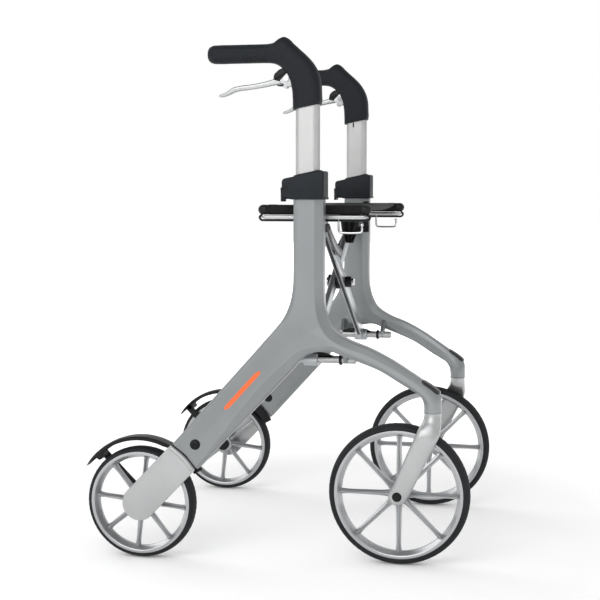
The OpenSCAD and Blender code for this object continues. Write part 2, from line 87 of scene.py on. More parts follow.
class Plane(Enum):
    """The plane an outline is drawn in, and the axis its thickness runs along."""

    SIDE = "x,z outline, thick along y"
    FRONT = "y,z outline, thick along x"

    def place(self, outline: np.ndarray, depth: np.ndarray | float) -> np.ndarray:
        """Stand outline points up in space.

        Args:
            outline: Points (..., 2) in the plane.
            depth: The coordinate along the thickness axis.

        Returns:
            Points (..., 3).
        """
        thick = np.broadcast_to(depth, outline.shape[:-1])
        if self is Plane.SIDE:
            return np.stack([outline[..., 0], thick, outline[..., 1]], -1)
        return np.stack([thick, outline[..., 0], outline[..., 1]], -1)


# ------------------------------------------------------------------ curves and outlines


def through(points: np.ndarray | list, count: int) -> np.ndarray:
    """Carry a smooth curve through rows of numbers.

    A cubic Hermite curve, with the running chord length as its parameter and the slope of the
    parabola through each point and its neighbours as the slope there.

    Args:
        points: Rows (k, n) that the curve passes through.
        count: How many rows to return.

    Returns:
        Rows (count, n), evenly spaced in chord length.
    """
    rows = np.asarray(points, float)
    run = np.concatenate([[0.0], np.cumsum(np.linalg.norm(np.diff(rows, axis=0), axis=1))])
    slope = np.gradient(rows, run, axis=0, edge_order=2 if len(rows) > 2 else 1)
    at = np.linspace(0.0, run[-1], count)
    k = np.clip(np.searchsorted(run, at, side="right") - 1, 0, len(run) - 2)
    span = (run[k + 1] - run[k])[:, None]
    t = (at - run[k])[:, None] / span
    return ((2 * t**3 - 3 * t**2 + 1) * rows[k] + (t**3 - 2 * t**2 + t) * span * slope[k]
            + (3 * t**2 - 2 * t**3) * rows[k + 1] + (t**3 - t**2) * span * slope[k + 1])


def bow(start: np.ndarray, pull: np.ndarray, end: np.ndarray, count: int = 15) -> np.ndarray:
    """A quadratic curve: (1 - t)^2 start + 2 t (1 - t) pull + t^2 end, for t from 0 to 1.

    Args:
        start: First point (2,), or first points (k, 1, 2) of k curves.
        pull: The point or points the curve bends towards.
        end: Last point or points.
        count: Points on each curve.

    Returns:
        Points (count, 2), or (k, count, 2).
    """
    t = np.linspace(0, 1, count)[:, None]
    return (1 - t) ** 2 * start + 2 * t * (1 - t) * pull + t**2 * end


def soft_step(run: np.ndarray, soft: float) -> np.ndarray:
    """The larger of run and 0 with a soft corner: half the sum of run and hypot(run, soft)."""
    return (run + np.hypot(run, soft)) / 2


def round_ends(t: np.ndarray, power: int) -> np.ndarray:
    """A width of 1 that draws in at both ends: the root of 1 - (2t - 1)^power, for t 0 to 1."""
    return np.sqrt(np.clip(1 - (2 * t - 1) ** power, 0.02, 1))


def arc(centre: tuple, radius: float, start: float, end: float, count: int = 13) -> np.ndarray:
    """Points on a circle: centre plus radius times (cos a, sin a), for a from start to end.

    Args:
        centre: The circle's centre in the plane.
        radius: Its radius.
        start: First angle in degrees.
        end: Last angle in degrees.
        count: Number of points.

    Returns:
        Points (count, 2).
    """
    a = np.radians(np.linspace(start, end, count))
    return np.asarray(centre) + radius * np.stack([np.cos(a), np.sin(a)], -1)


def band(centre: tuple, first: float, second: float, start: float, end: float,
         count: int) -> np.ndarray:
    """The outline of a strip between two circles: along the first, and back along the second.

    Args:
        centre: The circles' centre in the plane.
        first: Radius of the first circle.
        second: Radius of the second circle.
        start: First angle in degrees.
        end: Last angle in degrees.
        count: Points on each circle.

    Returns:
        Points (2 * count, 2).
    """
    return np.vstack([arc(centre, first, start, end, count),
                      arc(centre, second, end, start, count)])


def round_corners(corners: np.ndarray | list, cut: float | list, steps: int = 6) -> np.ndarray:
    """Round an outline's corners with bows pulled towards each corner.

    Args:
        corners: Outline corners (k, 2).
        cut: How far from each corner its curve starts, never past the middle of an edge.
        steps: Points on each corner's curve.

    Returns:
        Outline points (k * steps, 2).
    """
    p = np.asarray(corners, float)
    back, ahead = np.roll(p, 1, 0) - p, np.roll(p, -1, 0) - p
    long_back = np.linalg.norm(back, axis=1)
    long_ahead = np.linalg.norm(ahead, axis=1)
    size = np.minimum(np.broadcast_to(cut, len(p)), 0.49 * np.minimum(long_back, long_ahead))
    a = p + back * (size / long_back)[:, None]
    b = p + ahead * (size / long_ahead)[:, None]
    return bow(a[:, None], p[:, None], b[:, None], steps).reshape(-1, 2)


def inset(outline: np.ndarray, distance: float) -> np.ndarray:
    """Move a closed outline inwards: each point goes along the mean of its two edge normals.

    Args:
        outline: Points (k, 2), in either direction round.
        distance: How far each edge moves in.

    Returns:
        Points (k, 2).
    """
    ahead = np.roll(outline, -1, 0) - outline
    ahead /= np.maximum(np.linalg.norm(ahead, axis=1, keepdims=True), 1e-9)
    back = np.roll(ahead, 1, 0)
    normal = np.stack([-(ahead + back)[:, 1], (ahead + back)[:, 0]], -1)
    normal /= np.maximum(np.linalg.norm(normal, axis=1, keepdims=True), 1e-9)
    square = np.clip(np.sum(normal * np.stack([-ahead[:, 1], ahead[:, 0]], -1), axis=1), 0.5, 1)
    x, y = outline[:, 0], outline[:, 1]
    turn = np.sign(np.sum(x * np.roll(y, -1) - y * np.roll(x, -1)))
    return outline + normal * (turn * distance / square)[:, None]


def superellipse(power: np.ndarray | float, around: int) -> tuple[np.ndarray, np.ndarray]:
    """The two coordinates of |x|^power + |y|^power = 1, walked once round.

    Args:
        power: 2 for a circle, larger for a squarer section; one value or one for each ring.
        around: Points on each ring.

    Returns:
        Two arrays (rings, around), the signed powers 2/power of cosine and sine.
    """
    angle = np.linspace(0, 2 * np.pi, around, endpoint=False)
    e = 2.0 / np.atleast_1d(power).astype(float)[:, None]
    c, s = np.cos(angle)[None, :], np.sin(angle)[None, :]
    return np.sign(c) * np.abs(c) ** e, np.sign(s) * np.abs(s) ** e


def sweep(path: np.ndarray, across: np.ndarray, depth: np.ndarray, half_w: np.ndarray | float,
          half_d: np.ndarray | float, power: np.ndarray | float = 2.0,
          around: int = 40) -> np.ndarray:
    """Carry a superellipse along a path.

    Each ring is the path point, plus half_w times the section's x along across, plus half_d times
    its y along depth.

    Args:
        path: Ring centres (n, 3).
        across: Unit vectors (n, 3) or (3,).
        depth: Unit vectors (n, 3) or (3,).
        half_w: Half sizes along across.
        half_d: Half sizes along depth.
        power: Squareness of the section.
        around: Points on each ring.

    Returns:
        Rings (n, around, 3).
    """
    n = len(path)
    c, s = superellipse(np.broadcast_to(power, n), around)
    a = np.broadcast_to(across, (n, 3))[:, None, :] * np.broadcast_to(half_w, n)[:, None, None]
    d = np.broadcast_to(depth, (n, 3))[:, None, :] * np.broadcast_to(half_d, n)[:, None, None]
    return path[:, None, :] + a * c[..., None] + d * s[..., None]


def blade(line: np.ndarray, y: np.ndarray | float, half_w: np.ndarray | float,
          half_t: np.ndarray | float, power: np.ndarray | float = 2.4,
          around: int = 40) -> np.ndarray:
    """Rings of a bar whose centre line lies in side view, square to that line.

    Args:
        line: Centre line (n, 2) as x and z.
        y: Distance of each ring from the middle of the walker.
        half_w: Half width in side view.
        half_t: Half thickness across the walker.
        power: Squareness of the section.
        around: Points on each ring.

    Returns:
        Rings (n, around, 3).
    """
    along = np.gradient(line, axis=0)
    along /= np.linalg.norm(along, axis=1, keepdims=True)
    normal = np.stack([-along[:, 1], np.zeros(len(line)), along[:, 0]], -1)
    return sweep(Plane.SIDE.place(line, y), normal, Y_AXIS, half_w, half_t, power, around)


def wire(path: np.ndarray, radius: np.ndarray | float, around: int = 16) -> np.ndarray:
    """Rings of a round wire: each ring is square to the path, turned the same way along it.

    Args:
        path: Centre line (n, 3) that lies in one plane.
        radius: Wire radius.
        around: Points on each ring.

    Returns:
        Rings (n, around, 3).
    """
    along = np.gradient(path, axis=0)
    along /= np.linalg.norm(along, axis=1, keepdims=True)
    out = np.cross(path[-1] - path[0], path[len(path) // 2] - path[0])
    out = out / np.linalg.norm(out) if np.linalg.norm(out) > 1e-6 else Y_AXIS
    return sweep(path, np.cross(along, out), np.broadcast_to(out, path.shape), radius, radius,
                 2.0, around)


def revolve(profile: np.ndarray | list, centre: tuple, axis: int, count: int = 96) -> np.ndarray:
    """Turn a profile once round an axis.

    Args:
        profile: Rows of radius and place along the axis (k, 2).
        centre: A point on the axis; the profile's places are measured from it.
        axis: 0, 1 or 2 for X, Y or Z.
        count: Steps round the axis.

    Returns:
        A grid (count, k, 3).
    """
    rows = np.asarray(profile, float)
    a = np.linspace(0, 2 * np.pi, count, endpoint=False)[:, None]
    first, second = [(1, 2), (2, 0), (0, 1)][axis]
    out = np.zeros((count, len(rows), 3)) + np.asarray(centre, float)
    out[..., first] += rows[None, :, 0] * np.cos(a)
    out[..., second] += rows[None, :, 0] * np.sin(a)
    out[..., axis] += rows[None, :, 1]
    return out


# ------------------------------------------------------------------ finishes


def linear(colour: tuple) -> tuple:
    """A display colour, three values from 0 to 1, as the renderer's linear colour with alpha."""
    c = np.asarray(colour, float)
    return (*np.where(c <= 0.04045, c / 12.92, ((c + 0.055) / 1.055) ** 2.4), 1.0)


class Tree:
    """A small writer for one material's nodes."""

    def __init__(self, name: str) -> None:
        """Start a material with its surface shader and object coordinates.

        Args:
            name: The material's name.
        """
        self.material = bpy.data.materials.new(name)
        self.material.use_nodes = True
        self.nodes = self.material.node_tree.nodes
        self.links = self.material.node_tree.links
        self.shader = self.nodes["Principled BSDF"]
        self.place = self.nodes.new("ShaderNodeTexCoord").outputs["Object"]

    def set(self, **values: float | tuple) -> None:
        """Set the shader's own sockets; an underscore in a name stands for a space."""
        for name, value in values.items():
            self.shader.inputs[name.replace("_", " ")].default_value = value

    def attribute(self, name: str) -> bpy.types.NodeSocket:
        """The vector that the mesh keeps for each point.

        Args:
            name: The mesh attribute's name.

        Returns:
            The vector's socket.
        """
        node = self.nodes.new("ShaderNodeAttribute")
        node.attribute_name = name
        return node.outputs["Vector"]

    def noise(self, scale: float, detail: float = 3.0, stretch: tuple = (1, 1, 1),
              source: bpy.types.NodeSocket | None = None) -> bpy.types.NodeSocket:
        """A noise of so many lumps a metre.

        Args:
            scale: Lumps a metre.
            detail: Octaves.
            stretch: Factors on the three axes; a small one draws the lumps out.
            source: Coordinates, or None for the object's own.

        Returns:
            The noise value's socket.
        """
        mapping = self.nodes.new("ShaderNodeMapping")
        mapping.inputs["Scale"].default_value = stretch
        self.links.new(source or self.place, mapping.inputs["Vector"])
        node = self.nodes.new("ShaderNodeTexNoise")
        node.inputs["Scale"].default_value = scale
        node.inputs["Detail"].default_value = detail
        self.links.new(mapping.outputs["Vector"], node.inputs["Vector"])
        return node.outputs["Fac"]

    def cells(self, scale: float) -> bpy.types.NodeSocket:
        """The distance to the middle of the nearest cell, for moulded grain.

        Args:
            scale: Cells a metre.

        Returns:
            The distance's socket.
        """
        node = self.nodes.new("ShaderNodeTexVoronoi")
        node.inputs["Scale"].default_value = scale
        self.links.new(self.place, node.inputs["Vector"])
        return node.outputs["Distance"]

    def bands(self, source: bpy.types.NodeSocket, axis: str, scale: float) -> bpy.types.NodeSocket:
        """Even waves along one axis.

        Args:
            source: Coordinates that the waves run over.
            axis: "X" or "Y".
            scale: A twentieth of the waves' angle in radians, gained along one unit.

        Returns:
            The waves' socket.
        """
        node = self.nodes.new("ShaderNodeTexWave")
        node.wave_type = "BANDS"
        node.bands_direction = axis
        node.inputs["Scale"].default_value = scale
        self.links.new(source, node.inputs["Vector"])
        return node.outputs["Fac"]

    def math(self, kind: str, a: bpy.types.NodeSocket, b: bpy.types.NodeSocket | float,
             ) -> bpy.types.NodeSocket:
        """One step of arithmetic.

        Args:
            kind: The renderer's name for the operation.
            a: First value.
            b: Second value, or a number.

        Returns:
            The result's socket.
        """
        node = self.nodes.new("ShaderNodeMath")
        node.operation = kind
        self.links.new(a, node.inputs[0])
        if isinstance(b, (int, float)):
            node.inputs[1].default_value = b
        else:
            self.links.new(b, node.inputs[1])
        return node.outputs[0]

    def ramp(self, value: bpy.types.NodeSocket, low: float, high: float, a: tuple | float,
             b: tuple | float) -> bpy.types.NodeSocket:
        """Turn a value into a colour, or into a number when a and b are numbers.

        Args:
            value: The driving value.
            low: Value at which a ends.
            high: Value at which b starts.
            a: Colour or number below low.
            b: Colour or number above high.

        Returns:
            The result's socket.
        """
        node = self.nodes.new("ShaderNodeMapRange" if isinstance(a, (int, float))
                              else "ShaderNodeValToRGB")
        self.links.new(value, node.inputs[0])
        if isinstance(a, (int, float)):
            for socket, number in zip(node.inputs[1:5], (low, high, a, b)):
                socket.default_value = number
            return node.outputs[0]
        first, last = node.color_ramp.elements
        first.position, first.color = low, a
        last.position, last.color = high, b
        return node.outputs["Color"]

    def bump(self, height: bpy.types.NodeSocket, strength: float, depth: float) -> None:
        """Let a height dent the surface, on top of any earlier bump.

        Args:
            height: The height's socket, from 0 to 1.
            strength: Share of the dent that shows.
            depth: Metres that a height of 1 stands for.
        """
        node = self.nodes.new("ShaderNodeBump")
        node.inputs["Strength"].default_value = strength
        node.inputs["Distance"].default_value = depth
        self.links.new(height, node.inputs["Height"])
        if self.shader.inputs["Normal"].is_linked:
            self.links.new(self.shader.inputs["Normal"].links[0].from_socket,
                           node.inputs["Normal"])
        self.links.new(node.outputs["Normal"], self.shader.inputs["Normal"])

    def feed(self, name: str, socket: bpy.types.NodeSocket) -> None:
        """Join a socket to the shader's input called name."""
        self.links.new(socket, self.shader.inputs[name])


@dataclass(frozen=True)
class Finish:
    """What every finish has: a name, a slot (not used), a colour and a roughness."""

    name: str
    slot: str
    colour: tuple
    roughness: float

    def shade(self, amount: float) -> tuple:
        """The finish's colour, lighter or darker by a factor, in linear light."""
        return linear(tuple(min(c * amount, 1.0) for c in self.colour))

    def make(self) -> bpy.types.Material:
        """Make the finish's material once, and share it after that.

        Returns:
            The material.
        """
        found = bpy.data.materials.get(self.name)
        if found is not None:
            return found
        tree = Tree(self.name)
        tree.set(Roughness=self.roughness)
        self.dress(tree)
        return tree.material

    def dress(self, tree: Tree) -> None:
        """Add this kind of finish's nodes to tree, the writer of its material."""
        raise NotImplementedError


@dataclass(frozen=True)
class MetalPaint(Finish):
    """Satin metallic lacquer: fine flake, soft clouding, and a thin clear coat."""

    metallic: float = 0.55
    flakes: float = 2600.0
    peel: float = 0.05

    def dress(self, tree: Tree) -> None:
        """Colour from clouds and flake, roughness from the flake, and a faint orange peel.

        Args:
            tree: The writer of this finish's material.
        """
        flake = tree.noise(self.flakes, 1.0)
        cloud = tree.noise(7.0, 2.0)
        both = tree.math("ADD", tree.math("MULTIPLY", flake, 0.55),
                         tree.math("MULTIPLY", cloud, 0.45))
        tree.feed("Base Color", tree.ramp(both, 0.36, 0.66, self.shade(0.95), self.shade(1.05)))
        tree.feed("Roughness", tree.ramp(flake, 0.3, 0.7, self.roughness - 0.05,
                                         self.roughness + 0.06))
        tree.set(Metallic=self.metallic, Coat_Weight=0.18, Coat_Roughness=0.2)
        tree.bump(tree.noise(420.0, 2.0), self.peel, 0.0004)


@dataclass(frozen=True)
class BareMetal(Finish):
    """Anodised or blasted aluminium and plain steel, with grain drawn out along one axis."""

    metallic: float = 0.9
    grain: float = 900.0
    stretch: tuple = (1.0, 1.0, 1.0)
    depth: float = 0.00025
    spread: float = 0.05

    def dress(self, tree: Tree) -> None:
        """Colour, roughness and bump from the grain, with slow handling marks over them.

        Args:
            tree: The writer of this finish's material.
        """
        grain = tree.noise(self.grain, 3.0, self.stretch)
        marks = tree.noise(14.0, 4.0)
        tree.feed("Base Color", tree.ramp(tree.math("ADD", tree.math("MULTIPLY", grain, 0.5),
                                                    tree.math("MULTIPLY", marks, 0.5)),
                                          0.35, 0.65, self.shade(1 - self.spread),
                                          self.shade(1 + self.spread)))
        tree.feed("Roughness", tree.ramp(marks, 0.35, 0.7, self.roughness - 0.05,
                                         self.roughness + 0.09))
        tree.set(Metallic=self.metallic)
        tree.bump(grain, 0.12, self.depth)


@dataclass(frozen=True)
class Moulding(Finish):
    """Moulded plastic or rubber: a spark-eroded grain, dust in it, and a soft sheen."""

    grain: float = 1400.0
    relief: float = 0.18
    dust: float = 0.25
    shine: float = 0.2

    def dress(self, tree: Tree) -> None:
        """Bump from cells and fine noise, and colour and roughness from slow dust.

        Args:
            tree: The writer of this finish's material.
        """
        cell = tree.cells(self.grain)
        dust = tree.noise(45.0, 5.0)
        tree.feed("Base Color", tree.ramp(dust, 0.4, 0.75, self.shade(1.0),
                                          self.shade(1.0 + self.dust)))
        tree.feed("Roughness", tree.ramp(dust, 0.35, 0.7, self.roughness - 0.04,
                                         self.roughness + 0.08))
        tree.set(Specular_IOR_Level=self.shine)
        tree.bump(tree.noise(700.0, 2.0), 0.06, 0.0003)
        tree.bump(cell, self.relief, 0.0002)


@dataclass(frozen=True)
class Weave(Finish):
    """Nylon webbing and coated cloth, woven along the attribute called weave, in metres."""

    threads: float = 700.0
    relief: float = 0.5

    def dress(self, tree: Tree) -> None:
        """Over and under of warp and weft as the larger of two crossed waves.

        Args:
            tree: The writer of this finish's material.
        """
        cloth = tree.attribute("weave")
        turns = self.threads / 20.0
        warp = tree.bands(cloth, "X", turns)
        weft = tree.bands(cloth, "Y", turns)
        top = tree.math("MAXIMUM", warp, tree.math("MULTIPLY", weft, 0.8))
        fuzz = tree.noise(260.0, 4.0)
        tree.feed("Base Color", tree.ramp(tree.math("ADD", tree.math("MULTIPLY", top, 0.6),
                                                    tree.math("MULTIPLY", fuzz, 0.4)),
                                          0.3, 0.8, self.shade(0.6), self.shade(1.35)))
        tree.feed("Roughness", tree.ramp(fuzz, 0.3, 0.7, self.roughness - 0.06,
                                         self.roughness + 0.06))
        tree.set(Sheen_Weight=0.04, Sheen_Roughness=0.45, Specular_IOR_Level=0.22)
        tree.bump(tree.noise(120.0, 3.0), 0.12, 0.0008)
        tree.bump(top, self.relief, 0.0003)


FRAME_GREY = MetalPaint("frame lacquer", "frame_grey", (0.525, 0.537, 0.542), 0.34,
                        metallic=0.65)
TUBE_SILVER = BareMetal("anodised tube", "tube_silver", (0.7, 0.7, 0.698), 0.4,
                        metallic=0.8, stretch=(1.0, 1.0, 0.02), depth=0.00006, spread=0.012)
BRACE_SILVER = BareMetal("brace aluminium", "brace_silver", (0.66, 0.675, 0.685), 0.33,
                         metallic=0.8, stretch=(1.0, 0.05, 0.05))
CAST_SILVER = BareMetal("blasted casting", "cast_silver", (0.68, 0.683, 0.685), 0.36,
                        metallic=0.85, grain=1600.0)
RIM_SILVER = MetalPaint("wheel lacquer", "rim_silver", (0.67, 0.677, 0.685), 0.28, metallic=0.8,
                        peel=0.015)
STEEL = BareMetal("bright steel", "steel", (0.8, 0.8, 0.81), 0.2, metallic=1.0, grain=500.0)
TYRE = Moulding("tyre rubber", "tyre", (0.115, 0.119, 0.126), 0.72, grain=900.0, relief=0.25,
                dust=0.35)
GRIP = Moulding("grip rubber", "handle_rubber", (0.066, 0.08, 0.098), 0.56, grain=1500.0,
                relief=0.22)
DARK_PLASTIC = Moulding("collar plastic", "dark_plastic", (0.075, 0.092, 0.112), 0.42)
BLACK_PLASTIC = Moulding("black plastic", "black_plastic", (0.07, 0.072, 0.08), 0.36)
GLOSS_BLACK = Moulding("gloss cap", "black_plastic", (0.05, 0.05, 0.055), 0.18, relief=0.03,
                       shine=0.5)
# painted shade: a darker copy of the brace silver, for the guide links that sit in the shade under
# the seat
LINK_SHADED_SILVER = BareMetal("link plate", "brace_silver", (0.31, 0.31, 0.32), 0.36, metallic=0.6)
FABRIC = Weave("seat cloth", "black_fabric", (0.036, 0.037, 0.042), 0.7)
WEBBING = Weave("webbing", "black_fabric", (0.055, 0.056, 0.062), 0.6, threads=420.0, relief=0.7)
THREAD = Moulding("stitching thread", "black_fabric", (0.27, 0.275, 0.285), 0.65, grain=2500.0)
ACCENT = MetalPaint("orange accent", "frame_grey", (0.93, 0.4, 0.17), 0.4, metallic=0.1)


# ------------------------------------------------------------------ meshes


@dataclass
class Shell:
    """The surfaces of one piece, in millimetres, until build turns them into an object."""

    points: list[np.ndarray] = field(default_factory=list)
    faces: list[list[int]] = field(default_factory=list)
    cloth: list[np.ndarray] = field(default_factory=list)
    count: int = 0

    def grid(self, surface: np.ndarray, wrap_u: bool = False, wrap_v: bool = False,
             cloth: np.ndarray | None = None) -> "Shell":
        """Add a surface worked out on a grid.

        Args:
            surface: Points (u, v, 3).
            wrap_u: Join the last row to the first.
            wrap_v: Join the last column to the first.
            cloth: Flat coordinates (u, v, 3) in metres, for a woven finish.

        Returns:
            This shell.
        """
        rows, columns = surface.shape[:2]
        index = np.arange(rows * columns).reshape(rows, columns) + self.count
        index = np.vstack([index, index[:1]]) if wrap_u else index
        index = np.hstack([index, index[:, :1]]) if wrap_v else index
        quads = np.stack([index[:-1, :-1], index[1:, :-1], index[1:, 1:], index[:-1, 1:]], -1)
        self.faces.extend(quads.reshape(-1, 4).tolist())
        self._keep(surface.reshape(-1, 3), cloth)
        return self

    def cap(self, ring: np.ndarray) -> "Shell":
        """Close a ring (n, 3) with one flat face."""
        self.faces.append((np.arange(len(ring)) + self.count).tolist())
        self._keep(ring, None)
        return self

    def tube(self, rings: np.ndarray, cloth: np.ndarray | None = None) -> "Shell":
        """Add rings (n, around, 3) as a bar with closed ends."""
        return self.grid(rings, wrap_v=True, cloth=cloth).cap(rings[0]).cap(rings[-1])

    def turned(self, profile: np.ndarray | list, centre: tuple, axis: int,
               count: int = 96) -> "Shell":
        """Add a closed profile turned round an axis; see revolve for the arguments."""
        return self.grid(revolve(profile, centre, axis, count), wrap_u=True, wrap_v=True)

    def plate(self, outline: np.ndarray, low: float, high: float, edge: float,
              plane: Plane = Plane.SIDE, steps: int = 4) -> "Shell":
        """Add an outline with thickness whose two rims are rolled over.

        Ring k of a rolled edge lies edge * (1 - sin a) in from the outline and
        edge * (1 - cos a) from the face, for a from 0 to a right angle.

        Args:
            outline: Points (k, 2).
            low: Start of the thickness.
            high: End of the thickness.
            edge: Radius of the rolled edge.
            plane: The plane of the outline.
            steps: Rings on each edge.

        Returns:
            This shell.
        """
        a = np.linspace(0, np.pi / 2, steps)
        ins = np.concatenate([edge * (1 - np.sin(a)), edge * (1 - np.cos(a))])
        depth = np.concatenate([low + edge * (1 - np.cos(a)), high - edge * (1 - np.sin(a))])
        rings = np.stack([plane.place(inset(outline, i), d) for i, d in zip(ins, depth)])
        return self.tube(rings)

    def _keep(self, points: np.ndarray, cloth: np.ndarray | None) -> None:
        """Store points, and their flat coordinates where the piece is woven.

        Args:
            points: Points (n, 3).
            cloth: Flat coordinates of as many points, or None for zeros.
        """
        self.points.append(points)
        self.cloth.append(np.zeros_like(points) if cloth is None else cloth.reshape(-1, 3))
        self.count += len(points)

    def build(self, name: str, finish: Finish, side: Side = Side.LEFT,
              crease: float = 32.0) -> bpy.types.Object:
        """Weld the surfaces into one object with outward faces and dress it.

        Args:
            name: The piece's name.
            finish: Its finish.
            side: RIGHT mirrors the piece.
            crease: Edges sharper than this many degrees stay crisp.

        Returns:
            The object, in the scene.
        """
        points = np.vstack(self.points) * MM
        points[:, 1] *= side.value
        mesh = bpy.data.meshes.new(name)
        mesh.from_pydata(points.tolist(), [], self.faces)
        flat = mesh.attributes.new("weave", "FLOAT_VECTOR", "POINT")
        flat.data.foreach_set("vector", np.vstack(self.cloth).astype(np.float32).ravel())
        work = bmesh.new()
        work.from_mesh(mesh)
        bmesh.ops.remove_doubles(work, verts=work.verts, dist=2e-6)
        bmesh.ops.dissolve_degenerate(work, edges=work.edges, dist=1e-7)
        bmesh.ops.recalc_face_normals(work, faces=work.faces)
        work.to_mesh(mesh)
        work.free()
        mesh.shade_smooth()
        mesh.set_sharp_from_angle(angle=math.radians(crease))
        piece = bpy.data.objects.new(name, mesh)
        bpy.context.collection.objects.link(piece)
        mesh.materials.append(finish.make())
        return piece


def fit(piece: bpy.types.Object, body: str, *nodes: str) -> bpy.types.Object:
    """Ride a piece on a body, in place of the CAD nodes it stands for.

    Args:
        piece: The finished piece.
        body: The CAD body it moves with.
        nodes: CAD nodes that it replaces, if any.

    Returns:
        The piece.
    """
    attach(piece, body)
    if nodes:
        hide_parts(*nodes)
    LOG.info("%s rides on %s: %d faces", piece.name, body, len(piece.data.polygons))
    return piece


@dataclass
class SidePart:
    """A sub-assembly that stands once on each side of the walker."""

    side: Side

    def add(self, shell: Shell, name: str, finish: Finish, body: str, *nodes: str,
            crease: float = 32.0) -> None:
        """Build a piece of this side and ride it on a body of this side.

        Args:
            shell: The piece's surfaces, drawn for the left side.
            name: The piece's name, without the side.
            finish: Its finish.
            body: The CAD body it moves with, without the side.
            nodes: CAD nodes that it replaces, without the side.
            crease: Edges sharper than this many degrees stay crisp.
        """
        piece = shell.build(self.side.body(name), finish, self.side, crease)
        fit(piece, self.side.body(body), *map(self.side.body, nodes))


# ------------------------------------------------------------------ the side frame


@dataclass
class Limb:
    """One limb of the cast side frame: a spine, an edge line on each side of it, and a section.

    Each station is a row: spine x and z, first edge x and z, second edge x and z, half thickness,
    roundness (0 for a box, 1 for a round bar), and the width and height of the bevel along the
    first and the second edge.
    """

    stations: list[tuple]
    count: int
    roll: float = 3.0
    rows: np.ndarray = field(init=False)

    def __post_init__(self) -> None:
        """Carry the stations through to count rows."""
        self.rows = through(self.stations, self.count)

    def middle(self) -> np.ndarray:
        """How far the spine lies from the middle of the walker, one value for each row.

        The column stands at 240. Past a soft start, the rear leg leans out by 6 degrees along its
        length and the front leg toes in by 6.8 degrees.

        Returns:
            Distances (rows,).
        """
        x, z = self.rows[:, 0], self.rows[:, 1]
        soft, slope = 30.0, math.radians(46.3)
        lean = soft_step((35.0 - x) * math.cos(slope) + (430.0 - z) * math.sin(slope), soft)
        toe = soft_step(x - 100.0, soft)
        return (COLUMN_Y + lean * math.tan(math.radians(6.0))
                - toe * math.tan(math.radians(6.8)))

    def face(self, edge: int, outward: int, columns: int = 32) -> np.ndarray:
        """One face between an edge line and the spine.

        A point's distance in from the edge is a share of the width there. Its height over the
        middle plane is the half thickness, less a quarter-round at the edge and less a bevel that
        fades out softly; towards the round end it becomes an ellipse.

        Args:
            edge: 0 for the first edge line, 1 for the second.
            outward: 1 for the outer face, -1 for the inner face.
            columns: Points from the edge to the spine.

        Returns:
            Points (rows, columns, 3).
        """
        r = self.rows
        spine, line = r[:, 0:2], r[:, 2 + 2 * edge:4 + 2 * edge]
        half, roundness = r[:, 6:7], np.clip(r[:, 7:8], 0, 1)
        bevel_w, bevel_h = r[:, 8 + 2 * edge, None], r[:, 9 + 2 * edge, None]
        share = 1 - np.cos(np.linspace(0, np.pi / 2, columns))[None, :]
        inward = share * np.linalg.norm(spine - line, axis=1)[:, None]
        edge_arc = np.sqrt(self.roll**2 - (self.roll - np.minimum(inward, self.roll)) ** 2)
        bevel = soft_step(1 - inward / bevel_w, 0.02) * bevel_h * (1.0 if outward > 0 else 0.3)
        box = half - self.roll + edge_arc - bevel
        bar = half * np.sqrt(np.clip(1 - (1 - share) ** 2, 0, 1))
        height = box * (1 - roundness) + bar * roundness
        height[:, -1] = half[:, 0]
        flat = line[:, None, :] + (spine - line)[:, None, :] * share[..., None]
        return Plane.SIDE.place(flat, self.middle()[:, None] + outward * height)

    def add_to(self, shell: Shell) -> None:
        """Add the limb's four faces, its two edge walls and its far end to a shell.

        Args:
            shell: The shell that grows.
        """
        faces = {(e, o): self.face(e, o) for e in (0, 1) for o in (1, -1)}
        for surface in faces.values():
            shell.grid(surface)
        for e in (0, 1):
            outer, inner = faces[e, 1][:, 0], faces[e, -1][:, 0]
            t = np.linspace(0, 1, 4)[None, :, None]
            shell.grid(outer[:, None] * (1 - t) + inner[:, None] * t)
        ring = [faces[0, 1][-1], faces[1, 1][-1, ::-1], faces[1, -1][-1],
                faces[0, -1][-1, ::-1]]
        walls = [np.linspace(ring[1][-1], ring[2][0], 4)[1:-1],
                 np.linspace(ring[3][-1], ring[0][0], 4)[1:-1]]
        shell.cap(np.vstack([ring[0], ring[1][1:], walls[0], ring[2], ring[3][1:], walls[1]]))


